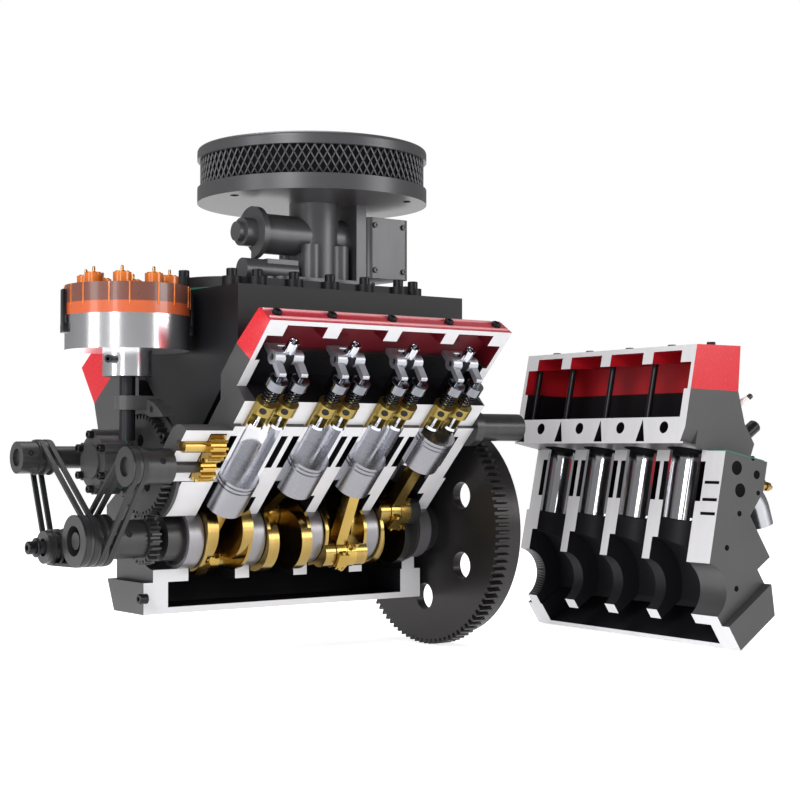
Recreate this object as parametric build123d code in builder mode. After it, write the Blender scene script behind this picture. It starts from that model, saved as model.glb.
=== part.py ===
from build123d import *
import os
from math import atan2, cos, degrees, pi, radians, sin, sqrt

os.makedirs("parts", exist_ok=True)

# Cutaway model of a 90 degree V8 four stroke engine. The crank runs along X with its nose towards -X.
# The near bank (-Y) is cut open through its cylinder axes, and its removed half stands beside the engine.

# Running gear
bore = 20.0
bore_pitch = 34.0
crank_throw = 14.0
rod_length = 47.0
compression_height = 10.0
crank_sweep_radius = 23.0
deck_clearance = 3.0
cylinders_per_bank = 4
bank_angle = 45.0
crank_height = 36.0
running_gap = 0.05
part_gap = 0.3
overrun = 2.0
far_reach = 400.0
deck_along = crank_throw + rod_length + compression_height + deck_clearance
piston_length = compression_height + rod_length - crank_throw - crank_sweep_radius

# Crankshaft and rods
pin_radius = 5.0
rod_width = 6.0
rod_gap = 0.4
web_thickness = 8.0
journal_radius = 13.0
bearing_wall = 2.0
disc_radius = 16.5
disc_thickness = 1.8
counterweight_radius = 14.5
counterweight_shift = 4.5
pin_boss_radius = 7.0
big_end_radius = 7.4
big_end_lug = 3.4
rod_shank_root = 3.6
rod_shank_tip = 2.6
small_end_radius = 4.2
small_end_play = 1.0
wrist_pin_radius = 2.0
rod_bolt_radius = 1.1
rod_bolt_length = 10.0

# Pistons
piston_crown = 3.6
piston_wall = 1.6
ring_groove_depth = 0.5
ring_groove_width = 1.0
ring_land = 1.3
rod_slot_play = 0.8

# Cylinder block
liner_wall = 2.0
liner_foot_along = 38.0
jacket_radius = 15.6
jacket_bottom = 47.0
jacket_top = deck_along - 3 * liner_wall
bank_half_width = 18.0
bank_outboard = 31.0
bank_side_height = 16.0
bank_root_outboard = 24.0
bank_foot_along = 44.0
bank_front = -70.0
bank_rear = 70.0
bank_root_along = 34.0
case_front = -83.0
case_rear = 72.0
rail_drop = 21.0
rail_half_width = 37.0
skirt_low = 12.0
valley_height = 44.0
chamber_radius = 27.0
cam_height = 34.5
cam_journal_radius = 6.0
cam_core_radius = 3.2
cam_lobe_lift = 1.6
cam_lobe_width = 3.0
lobe_spread = 55.0

# Oil pan
pan_front = -88.0
pan_rear = 76.0
pan_end_wall = 13.0
pan_floor = 3.0
pan_wall = 4.0
pan_foot_half_width = 30.0
stand_hole_radius = 1.6
stand_hole_depth = 2.2
stand_pitch_x = 90.0
stand_pitch_y = 12.0
stand_row = 12.0

# Heads and rocker covers
head_inboard = 26.0
head_outboard = 16.0
head_side = 33.0
head_side_height = 10.0
head_slope_height = 19.0
head_slope_side = 24.0
head_shoulder = 8.0
rail_inboard_height = 28.0
rail_slope = radians(10.0)
rocker_floor = deck_along + 14.0
head_wall = 5.0
chamber_cut = 2.0
rocker_cut = 12.0
removed_head_cut = 18.0
chamber_depth = 3.0
port_radius = 3.2
port_along = deck_along + 8.5
port_depth = 12.0
slot_half_width = 3.4
slot_depth = 9.0
cover_height = 24.0
cover_wall = 2.4
cover_lean = 3.0
cover_boss = 8.0
cover_boss_depth = 6.5

# Valve gear of the open bank
valve_offset = 5.8
cage_radius = 5.0
cage_bore = 4.5
cage_top = deck_along + 16.0
cage_shoulder = deck_along + 10.0
stem_radius = 1.1
valve_head_radius = 3.9
valve_head_along = deck_along + 1.4
valve_head_height = 1.3
valve_head_taper = 20.0
stem_tip_along = cage_top + 15.0
spring_radius = 3.0
spring_wire = 0.4
spring_turns = 5
spring_length = 9.4
cup_radius = 4.5
cup_wall = 0.5
cup_skirt = 4.6
cup_top = stem_tip_along - 1.4
rocker_pivot_inboard = 9.5
rocker_pivot_along = stem_tip_along + 3.5
rocker_hub_radius = 3.4
rocker_arm_width = 3.6
rocker_arm_height = 2.6
rocker_shaft_radius = 1.6
rocker_tail = 7.5
stand_width = 3.6
stand_half_depth = 3.0

# Timing gears, nose drive and pumps
tooth_root_share = 1.15
tooth_tip_share = 0.9
tooth_flank_shares = (-0.3, -0.13, 0.13, 0.3)
gear_module = 1.0
crank_gear_teeth = 23
cam_gear_teeth = 46
timing_gear_width = 5.0
timing_gear_front = -90.0
nose_radius = 4.0
nose_front = -123.0
crank_pulley_radius = 12.0
crank_pulley_length = 16.0
crank_pulley_front = -124.0
groove_pitch = 4.0
groove_depth = 1.6
groove_width = 2.6
pulley_hub_radius = 9.0
pulley_dish_radius = 7.0
pulley_dish_depth = 6.0
small_dish_depth = 1.5
pump_gear_module = 1.0
arch_radius = 31.5
arch_screw_ring = 28.0
arch_hole_radius = 1.6
arch_screw_turn = 22.0
arch_foot = 9.0
pump_gear_teeth = 13
pump_gear_width = 8.0
pump_low_along = 48.5
pump_front = -94.0
pump_wall = 2.0
pump_shaft_radius = 3.0
pump_pulley_radius = 9.0
belt_thickness = 1.5
water_pump_y = 21.5
water_pump_z = 36.0
water_pump_radius = 13.0
water_pump_lid_radius = 8.0
water_pump_front = -104.0
water_pump_ear = 2.6
generator_y = 43.0
generator_z = 38.0
generator_radius = 5.4
generator_pulley_radius = 8.5
idler_y = 26.0
idler_z = -4.0
idler_radius = 8.5
idler_bore = 3.0

# Distributor
distributor_x = -97.0
distributor_radius = 29.0
distributor_neck_bottom = 76.0
distributor_neck_height = 12.0
distributor_bowl_height = 16.0
distributor_cap_height = 14.0
distributor_neck_radius = 11.5
distributor_tube_radius = 3.8
distributor_tube_length = 30.0
distributor_floor = distributor_neck_bottom + distributor_neck_height
distributor_rim = distributor_floor + distributor_bowl_height
distributor_cap_top = distributor_rim + distributor_cap_height
distributor_tube_bottom = distributor_neck_bottom - distributor_tube_length
distributor_spindle_radius = 1.6
distributor_wall = 2.0
tower_radius = 4.2
tower_height = 5.0
tower_ring = 19.5
rotor_radius = 12.0

# Intake, carburettor and air cleaner
manifold_front = -66.0
manifold_rear = 66.0
manifold_shoulder = 48.0
manifold_deck = 118.0
plenum_thickness = 6.0
plenum_half_width = 26.0
plenum_ear = 4.5
plenum_screw_pitch = 21.0
plenum_end = 41.0
plenum_top = manifold_deck + plenum_thickness
carb_x = 8.0
carb_foot_length = 60.0
carb_foot_height = 3.0
carb_half_width = 15.0
carb_throat_radius = 12.5
carb_post_radius = 5.0
carb_post_pitch = 17.0
carb_barrel_radius = 10.0
carb_barrel_rise = 25.0
carb_barrel_height = plenum_top + carb_barrel_rise
carb_barrel_front = -26.0
pump_block_length = 8.0
pump_cylinder_gap = 0.5
pump_cylinder_front = -38.0
slab_front = 24.0
bowl_front = 30.0
bowl_rear = 56.0
bowl_rise = 5.0
bowl_gap = 5.5
bowl_half_width = 17.0
throttle_radius = 13.0
throttle_thickness = 3.0
throttle_hub_radius = 7.0
throttle_cap_radius = 4.8
pump_cylinder_radius = (carb_barrel_rise - throttle_radius) / 2 - pump_cylinder_gap
pump_cylinder_height = plenum_top + pump_cylinder_gap + pump_cylinder_radius
air_x = 7.0
air_radius = 58.0
air_base_gap = 3.5
air_base_height = 7.5
air_mesh_height = 14.0
air_lid_height = 6.0
air_base_bottom = carb_barrel_height + throttle_radius + air_base_gap
air_base_top = air_base_bottom + air_base_height
air_mesh_top = air_base_top + air_mesh_height
air_lid_top = air_mesh_top + air_lid_height
air_mesh_radius = 55.5
air_mesh_wall = 2.0
air_nut_radius = 4.0
air_nut_height = 3.0
air_stud_radius = 2.0

# Flywheel and starter
ring_gear_radius = 60.0
ring_gear_teeth = 96
ring_gear_width = 8.0
flywheel_front = 79.0
flywheel_rim_radius = 57.0
flywheel_rim_width = 10.0
flywheel_rim_wall = 7.0
flywheel_web = 5.0
flywheel_hole_radius = 7.0
flywheel_hole_ring = 36.0
flywheel_holes = 6
flange_radius = 12.0
starter_y = -46.0
starter_z = 53.0
starter_radius = 7.0
starter_rear = 104.0

# Removed half: where it stands beside the engine, and its turn and roll
removed_x = 174.0
removed_y = -33.0
removed_lift = -31.1
removed_turn = 87.0
removed_roll = -33.4
elbow_radius = 7.0
elbow_wall = 1.2
elbow_bend = 16.0
elbow_turn = 60.0
elbow_reach = 9.0
elbow_along = 60.0
elbow_x = -58.0

tilt = radians(bank_angle)
crank_y = -stand_row
near = -1
far = 1
main_bore_radius = journal_radius + running_gap + bearing_wall
liner_radius = bore / 2 + liner_wall
rod_shift = (rod_width + rod_gap) / 2
pin_half_length = rod_width + 1.5 * rod_gap
bay_half_length = (bore_pitch - web_thickness) / 2
pin_places = [bore_pitch * (i - (cylinders_per_bank - 1) / 2) for i in range(cylinders_per_bank)]
web_places = [bore_pitch * (i - cylinders_per_bank / 2) for i in range(cylinders_per_bank + 1)]
# Crank angles of the four pins, from +Y towards +Z, so that each near piston stands as photographed
pin_angles = [-45.0, 45.0, 225.0, 135.0]


def bank_point(side, along, inboard=0):
    """Y and Z, from the crank axis, of a point on a bank's section."""
    y = side * (along * sin(tilt) - inboard * cos(tilt))
    z = along * cos(tilt) + inboard * sin(tilt)
    return (y, z)


def across(x):
    """Plane square to the crank: its X is the model's Y, its Y is height above the crank axis."""
    return Plane(origin=(x, crank_y, crank_height), x_dir=(0, 1, 0), z_dir=(1, 0, 0))


def bank_plane(side, x, along, inboard=0):
    """Plane square to a bank's cylinders: X runs along the crank and Y points to the valley."""
    y, z = bank_point(side, along, inboard)
    return Plane(
        origin=(x, crank_y + y, crank_height + z), x_dir=(-side, 0, 0), z_dir=(0, side * sin(tilt), cos(tilt))
    )


def cylinder_x(side, index):
    """Place of a cylinder along the crank: the two rods of a pin lie side by side."""
    return pin_places[index] + side * rod_shift


def save(piece, name):
    """Label a finished piece and write its file."""
    piece.part.label = name
    export_step(piece.part, f"parts/{name}.step")


def gear_outline(teeth, module, turn):
    """Points of a plain straight-flanked spur gear with a tooth at the given angle."""
    root = module * (teeth / 2 - tooth_root_share)
    tip = module * (teeth / 2 + tooth_tip_share)
    step = 2 * pi / teeth
    points = []
    for tooth in range(teeth):
        middle = radians(turn) + tooth * step
        for share, radius in zip(tooth_flank_shares, (root, tip, tip, root)):
            angle = middle + share * step
            points.append((radius * cos(angle), radius * sin(angle)))
    return points


def tilted_rail(inboard):
    """Height along the bank of the sloping joint between head and rocker cover."""
    rise = (head_inboard - head_wall / 2 - inboard) * sin(rail_slope) / cos(rail_slope)
    return deck_along + rail_inboard_height + rise


def removed_region():
    """Corners of the sector that the cutaway takes off, seen along the crank."""
    return [(0, 0), (0, -far_reach), (-far_reach, -far_reach), (-far_reach, far_reach)]


def outboard_region(side, inboard, low, high):
    """Corners of the part of a bank outboard of a plane, between two heights."""
    return [
        bank_point(side, low, inboard),
        bank_point(side, high, inboard),
        bank_point(side, high, -far_reach),
        bank_point(side, low, -far_reach),
    ]


# Cylinder block: one casting, five main webs, wet liners pressed into both banks
def bank_outline(side, inboard):
    """Corners of a bank's section, from its outboard foot round to a plane on its valley side."""
    return [
        bank_point(side, bank_foot_along, -bank_root_outboard),
        bank_point(side, deck_along - bank_side_height, -bank_outboard),
        bank_point(side, deck_along, -bank_outboard),
        bank_point(side, deck_along, inboard),
        bank_point(side, bank_root_along - overrun, inboard),
    ]


def block_half(side):
    """One side of the block, before the cutaway."""
    with BuildPart() as casting:
        with BuildSketch(across(case_front)):
            with BuildLine():
                Polyline(
                    (0, -rail_drop),
                    (side * rail_half_width, -rail_drop),
                    (side * rail_half_width, -skirt_low),
                    (bank_point(side, bank_foot_along, -bank_root_outboard)[0], -skirt_low),
                    bank_point(side, bank_foot_along, -bank_root_outboard),
                    bank_point(side, bank_root_along, bank_half_width - part_gap),
                    (side * valley_height / 2, valley_height),
                    (0, valley_height),
                    close=True,
                )
            make_face()
        extrude(amount=case_rear - case_front)
        with BuildSketch(across(bank_front)):
            Polygon(*bank_outline(side, bank_half_width), align=None)
        extrude(amount=bank_rear - bank_front)
        for index, x in enumerate(pin_places):
            with BuildSketch(across(x - bay_half_length)):
                Circle(chamber_radius)
            extrude(amount=2 * bay_half_length, mode=Mode.SUBTRACT)
            place = cylinder_x(side, index)
            with BuildSketch(bank_plane(side, place, 0)):
                Circle(liner_radius)
            extrude(amount=deck_along + overrun, mode=Mode.SUBTRACT)
            with BuildSketch(bank_plane(side, place, jacket_bottom)):
                Circle(jacket_radius)
            extrude(amount=jacket_top - jacket_bottom, mode=Mode.SUBTRACT)
        with BuildSketch(across(case_front - overrun)):
            Circle(main_bore_radius)
            with Locations((0, cam_height)):
                Circle(cam_journal_radius + running_gap)
        extrude(amount=case_rear - case_front + 2 * overrun, mode=Mode.SUBTRACT)
    return casting.part


near_half = block_half(near)
far_half = block_half(far)

with BuildPart() as crankcase:
    add(near_half)
    with BuildSketch(across(case_front - overrun)):
        Polygon(*removed_region(), align=None)
    extrude(amount=case_rear - case_front + 2 * overrun, mode=Mode.SUBTRACT)
    add(far_half)
save(crankcase, "crankcase")


# Oil pan: cast tray with thick ends, cut at the middle like the block above it
def pan_half(side):
    """One side of the pan, before the cutaway."""
    tray_length = pan_rear - pan_front
    with BuildPart() as tray:
        for front, length, wall, floor, mode in (
            (pan_front, tray_length, 0, 0, Mode.ADD),
            (pan_front + pan_end_wall, tray_length - 2 * pan_end_wall, pan_wall, pan_floor, Mode.SUBTRACT),
        ):
            with BuildSketch(across(front)):
                with BuildLine():
                    Polyline(
                        (0, -rail_drop),
                        (side * (rail_half_width - wall), -rail_drop),
                        (side * (pan_foot_half_width - wall), -crank_height + floor),
                        (0, -crank_height + floor),
                        close=True,
                    )
                make_face()
            extrude(amount=length, mode=mode)
        with BuildSketch(across(pan_front - overrun)):
            Circle(main_bore_radius + bearing_wall)
        extrude(amount=pan_rear - pan_front + 2 * overrun, mode=Mode.SUBTRACT)
        with BuildSketch(Plane.XY):
            with Locations((0, crank_y + side * stand_row)):
                with GridLocations(stand_pitch_x, stand_pitch_y, 2, 2):
                    Circle(stand_hole_radius)
        extrude(amount=stand_hole_depth, mode=Mode.SUBTRACT)
    return tray.part


with BuildPart() as oil_pan:
    add(pan_half(far))
save(oil_pan, "oil_pan")

# Main bearings: whole steel rings pressed into the five webs
with BuildPart() as main_bearings:
    for x in web_places:
        with BuildSketch(across(x - web_thickness / 2)):
            Circle(main_bore_radius - running_gap / 2)
            Circle(journal_radius + running_gap, mode=Mode.SUBTRACT)
        extrude(amount=web_thickness)
save(main_bearings, "main_bearings")

# Liners: polished tubes with their upper ends flush with the deck, halved in the open bank
def liner_set(side, cut_side):
    """Liners of one bank; cut_side takes off their outboard (-1) or inboard (1) half, 0 keeps them whole."""
    with BuildPart() as tubes:
        for index in range(cylinders_per_bank):
            with BuildSketch(bank_plane(side, cylinder_x(side, index), liner_foot_along)):
                Circle(liner_radius - running_gap / 2)
                Circle(bore / 2, mode=Mode.SUBTRACT)
                if cut_side:
                    with Locations((0, cut_side * liner_radius)):
                        Rectangle(2 * liner_radius + overrun, 2 * liner_radius, mode=Mode.SUBTRACT)
            extrude(amount=deck_along - liner_foot_along)
    return tubes.part


def set_apart(piece):
    """Place of a removed piece: rolled about the crank line, turned and set down beside the engine."""
    rolled = Rot(X=removed_roll) * (Pos(0, -crank_y, -crank_height) * piece)
    return Pos(removed_x, crank_y + removed_y, crank_height + removed_lift) * (Rot(Z=removed_turn) * rolled)


near_liners = liner_set(near, -1)
far_liners = liner_set(far, 0)
removed_liners = set_apart(liner_set(near, 1))
with BuildPart() as cylinder_liners:
    add(near_liners)
    add(far_liners)
    add(removed_liners)
save(cylinder_liners, "cylinder_liners")


# Cylinder heads: the inboard strip of the open one stays, the far one is whole
def head_body(side):
    """A head with its rocker trough, before the cutaway."""
    with BuildPart() as body:
        with BuildSketch(across(bank_front)):
            with BuildLine():
                Polyline(
                    bank_point(side, deck_along, -bank_outboard),
                    bank_point(side, deck_along, bank_half_width),
                    bank_point(side, deck_along + head_shoulder, head_inboard),
                    bank_point(side, tilted_rail(head_inboard), head_inboard),
                    bank_point(side, tilted_rail(-head_outboard), -head_outboard),
                    bank_point(side, deck_along + head_slope_height, -head_slope_side),
                    bank_point(side, deck_along + head_side_height, -head_side),
                    close=True,
                )
            make_face()
        extrude(amount=bank_rear - bank_front)
        with BuildSketch(across(bank_front + head_wall)):
            Polygon(
                bank_point(side, rocker_floor, head_inboard - head_wall),
                bank_point(side, deck_along + far_reach, head_inboard - head_wall),
                bank_point(side, deck_along + far_reach, head_wall - head_outboard),
                bank_point(side, rocker_floor, head_wall - head_outboard),
                align=None,
            )
        extrude(amount=bank_rear - bank_front - 2 * head_wall, mode=Mode.SUBTRACT)
    return body.part


near_head_body = head_body(near)
far_head_body = head_body(far)

with BuildPart() as cylinder_heads:
    add(near_head_body)
    with BuildSketch(across(bank_front - overrun)):
        Polygon(*outboard_region(near, chamber_cut, 0, rocker_floor), align=None)
        Polygon(*outboard_region(near, rocker_cut, rocker_floor, far_reach), align=None)
    extrude(amount=bank_rear - bank_front + 2 * overrun, mode=Mode.SUBTRACT)
    for index in range(cylinders_per_bank):
        for hand in (-1, 1):
            x = cylinder_x(near, index) + hand * valve_offset
            with BuildSketch(bank_plane(near, x, deck_along - overrun)):
                Circle(cage_radius + running_gap)
            extrude(amount=cage_top - deck_along + overrun, mode=Mode.SUBTRACT)
    add(far_head_body)
save(cylinder_heads, "cylinder_heads")


# Rocker covers: red shells on the sloping rail, with five screw bosses under the roof
def cover_shell(side):
    """A rocker cover, before the cutaway."""
    roof_in = (tilted_rail(head_inboard) + cover_height, head_inboard - cover_lean)
    roof_out = (tilted_rail(-head_outboard) + cover_height, -head_outboard + cover_lean)
    with BuildPart() as shell:
        for start, wall, mode in ((bank_front, 0, Mode.ADD), (bank_front + cover_wall, cover_wall, Mode.SUBTRACT)):
            with BuildSketch(across(start)):
                Polygon(
                    bank_point(side, tilted_rail(head_inboard - wall), head_inboard - wall),
                    bank_point(side, roof_in[0] - wall, roof_in[1] - wall),
                    bank_point(side, roof_out[0] - wall, roof_out[1] + wall),
                    bank_point(side, tilted_rail(wall - head_outboard), wall - head_outboard),
                    align=None,
                )
            extrude(amount=bank_rear - bank_front - 2 * wall, mode=mode)
        between = [x - cover_boss / 2 for x in web_places[1:-1]]
        for start in (bank_front + cover_wall, *between, bank_rear - cover_wall - cover_boss):
            with BuildSketch(across(start)):
                Polygon(
                    bank_point(side, roof_in[0] - cover_wall - cover_boss_depth, roof_in[1] - cover_wall),
                    bank_point(side, roof_in[0] - cover_wall / 2, roof_in[1] - cover_wall),
                    bank_point(side, roof_out[0] - cover_wall / 2, roof_out[1] + cover_wall),
                    bank_point(side, roof_out[0] - cover_wall - cover_boss_depth, roof_out[1] + cover_wall),
                    align=None,
                )
            extrude(amount=cover_boss)
    return shell.part


near_cover_shell = cover_shell(near)
far_cover_shell = cover_shell(far)

with BuildPart() as rocker_covers:
    add(near_cover_shell)
    with BuildSketch(across(bank_front - overrun)):
        Polygon(*outboard_region(near, rocker_cut, 0, far_reach), align=None)
    extrude(amount=bank_rear - bank_front + 2 * overrun, mode=Mode.SUBTRACT)
    add(far_cover_shell)
save(rocker_covers, "rocker_covers")

# Valve cages: brass sleeves that hold seat and guide, halved to show the valves
with BuildPart() as valve_cages:
    for index in range(cylinders_per_bank):
        for hand in (-1, 1):
            x = cylinder_x(near, index) + hand * valve_offset
            with BuildSketch(bank_plane(near, x, deck_along)):
                Circle(cage_radius)
                Circle(cage_bore, mode=Mode.SUBTRACT)
                with Locations((0, -cage_radius)):
                    Rectangle(2 * cage_radius, 2 * cage_radius, mode=Mode.SUBTRACT)
            extrude(amount=cage_shoulder - deck_along)
            with BuildSketch(bank_plane(near, x, cage_shoulder)):
                Circle(cage_radius)
                Circle(stem_radius + running_gap, mode=Mode.SUBTRACT)
            extrude(amount=cage_top - cage_shoulder)
save(valve_cages, "valve_cages")

# Rocker stands: black posts on the head's ledge, each with its short rocker shaft
rocker_half_span = rocker_arm_width + stand_width / 2 + part_gap + overrun / 2
with BuildPart() as rocker_stands:
    for index in range(cylinders_per_bank):
        x = cylinder_x(near, index)
        with BuildSketch(bank_plane(near, x, rocker_floor, rocker_pivot_inboard)):
            Rectangle(stand_width, 2 * stand_half_depth)
        extrude(amount=rocker_pivot_along - rocker_floor + rocker_hub_radius)
        y, z = bank_point(near, rocker_pivot_along, rocker_pivot_inboard)
        with BuildSketch(across(x - rocker_half_span)):
            with Locations((y, z)):
                Circle(rocker_shaft_radius)
        extrude(amount=2 * rocker_half_span)
save(rocker_stands, "rocker_stands")


def arc_pair(start, start_way, end, end_way):
    """Joint of the two tangent arcs that link two points with given directions."""
    span = end - start
    ways = start_way + end_way
    spread = 2 * (1 - start_way.dot(end_way))
    reach = (sqrt(span.dot(ways) ** 2 + spread * span.dot(span)) - span.dot(ways)) / spread
    return (start + end + (start_way - end_way) * reach) * 0.5


# Valve springs: round black wire, one unbroken coil each, seated on the cages
def coil_point(turn, base):
    """Place and direction on a spring's centre line after a number of turns."""
    angle = 2 * pi * turn
    pitch = (spring_length - 2 * spring_wire) / spring_turns
    local = Vector(spring_radius * cos(angle), spring_radius * sin(angle), spring_wire + pitch * turn)
    way = Vector(-2 * pi * spring_radius * sin(angle), 2 * pi * spring_radius * cos(angle), pitch)
    place = base.from_local_coords(local)
    return (place, (base.from_local_coords(local + way) - place).normalized())


spring_gap = (spring_length - 2 * spring_wire) / spring_turns - 2 * spring_wire
print("least gap between spring coils", round(spring_gap, 3), "mm")
with BuildPart() as valve_springs:
    for index in range(cylinders_per_bank):
        for hand in (-1, 1):
            x = cylinder_x(near, index) + hand * valve_offset
            base = bank_plane(near, x, cage_top)
            with BuildLine(mode=Mode.PRIVATE) as path:
                for quarter in range(4 * spring_turns):
                    start, start_way = coil_point(quarter / 4, base)
                    end, end_way = coil_point((quarter + 1) / 4, base)
                    joint = arc_pair(start, start_way, end, end_way)
                    first = TangentArc(start, joint, tangent=start_way)
                    TangentArc(joint, end, tangent=first % 1)
            start, start_way = coil_point(0, base)
            with BuildSketch(Plane(origin=start, z_dir=start_way)):
                Circle(spring_wire)
            sweep(path=path.wires()[0])
save(valve_springs, "valve_springs")

# Valves and their chromed spring cups, two to a cylinder
for index in range(cylinders_per_bank):
    with BuildPart() as valve_pair:
        for hand in (-1, 1):
            x = cylinder_x(near, index) + hand * valve_offset
            with BuildSketch(bank_plane(near, x, valve_head_along)):
                Circle(valve_head_radius)
            extrude(amount=valve_head_height, taper=valve_head_taper)
            with BuildSketch(bank_plane(near, x, valve_head_along)):
                Circle(stem_radius)
            extrude(amount=stem_tip_along - valve_head_along)
            with BuildSketch(bank_plane(near, x, cup_top - cup_skirt)):
                Circle(cup_radius)
            extrude(amount=cup_skirt)
            with BuildSketch(bank_plane(near, x, cup_top - cup_skirt)):
                Circle(cup_radius - cup_wall)
                Circle(stem_radius, mode=Mode.SUBTRACT)
            extrude(amount=cup_skirt - 2 * cup_wall, mode=Mode.SUBTRACT)
    save(valve_pair, f"valve_pair_{index + 1}")

# Forked rockers: a hub each side of the stand and an arm over each valve, joined behind the stand
for index in range(cylinders_per_bank):
    x = cylinder_x(near, index)
    pivot = bank_point(near, rocker_pivot_along, rocker_pivot_inboard)
    tip = bank_point(near, stem_tip_along + part_gap + rocker_arm_height / 2, 0)
    tail = bank_point(near, rocker_pivot_along, rocker_pivot_inboard + rocker_tail)
    arm_angle = degrees(atan2(tip[1] - pivot[1], tip[0] - pivot[0]))
    arm_length = sqrt((tip[0] - pivot[0]) ** 2 + (tip[1] - pivot[1]) ** 2)
    with BuildPart() as rocker:
        for hand in (-1, 1):
            middle = x + hand * valve_offset
            inner = x + hand * (stand_width / 2 + part_gap)
            outer = middle + hand * rocker_arm_width / 2
            with BuildSketch(across(min(inner, outer))):
                with Locations(pivot):
                    Circle(rocker_hub_radius)
                with Locations(tail):
                    Circle(rocker_arm_height / 2)
                with Locations(((pivot[0] + tail[0]) / 2, (pivot[1] + tail[1]) / 2)):
                    Rectangle(rocker_tail, rocker_arm_height, rotation=bank_angle)
            extrude(amount=abs(outer - inner))
            with BuildSketch(across(middle - rocker_arm_width / 2)):
                with Locations(((pivot[0] + tip[0]) / 2, (pivot[1] + tip[1]) / 2)):
                    SlotOverall(arm_length + rocker_arm_height, rocker_arm_height, rotation=arm_angle)
            extrude(amount=rocker_arm_width)
        with BuildSketch(across(x - valve_offset)):
            with Locations(tail):
                Circle(rocker_arm_height / 2)
        extrude(amount=2 * valve_offset)
        with BuildSketch(across(x - 2 * valve_offset)):
            with Locations(pivot):
                Circle(rocker_shaft_radius + running_gap)
        extrude(amount=4 * valve_offset, mode=Mode.SUBTRACT)
    save(rocker, f"rocker_{index + 1}")

# Crankshaft: drum journals, thrust discs, webs with counterweights and four pins a quarter turn apart
with BuildPart() as crankshaft:
    for x in web_places:
        with BuildSketch(across(x - web_thickness / 2 - rod_gap)):
            Circle(journal_radius)
        extrude(amount=web_thickness + 2 * rod_gap)
    for x, angle in zip(pin_places, pin_angles):
        pin = (crank_throw * cos(radians(angle)), crank_throw * sin(radians(angle)))
        weight = (
            -counterweight_shift * cos(radians(angle)),
            -counterweight_shift * sin(radians(angle)),
        )
        with BuildSketch(across(x - pin_half_length)):
            with Locations(pin):
                Circle(pin_radius)
        extrude(amount=2 * pin_half_length)
        for hand in (-1, 1):
            inner = x + hand * pin_half_length
            outer = x + hand * (bay_half_length - rod_gap)
            with BuildSketch(across(min(inner, outer))):
                with Locations(weight):
                    Circle(counterweight_radius)
                with Locations(pin):
                    Circle(pin_boss_radius)
            extrude(amount=abs(outer - inner))
            with BuildSketch(across(min(outer, outer - hand * disc_thickness))):
                Circle(disc_radius)
            extrude(amount=disc_thickness)
    with BuildSketch(across(nose_front)):
        Circle(nose_radius)
    extrude(amount=web_places[0] - nose_front)
    with BuildSketch(across(case_front + overrun)):
        Circle(journal_radius - bearing_wall)
    extrude(amount=web_places[0] - case_front - overrun)
    with BuildSketch(across(web_places[-1])):
        Circle(flange_radius)
    extrude(amount=flywheel_front - web_places[-1])
save(crankshaft, "crankshaft")

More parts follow.
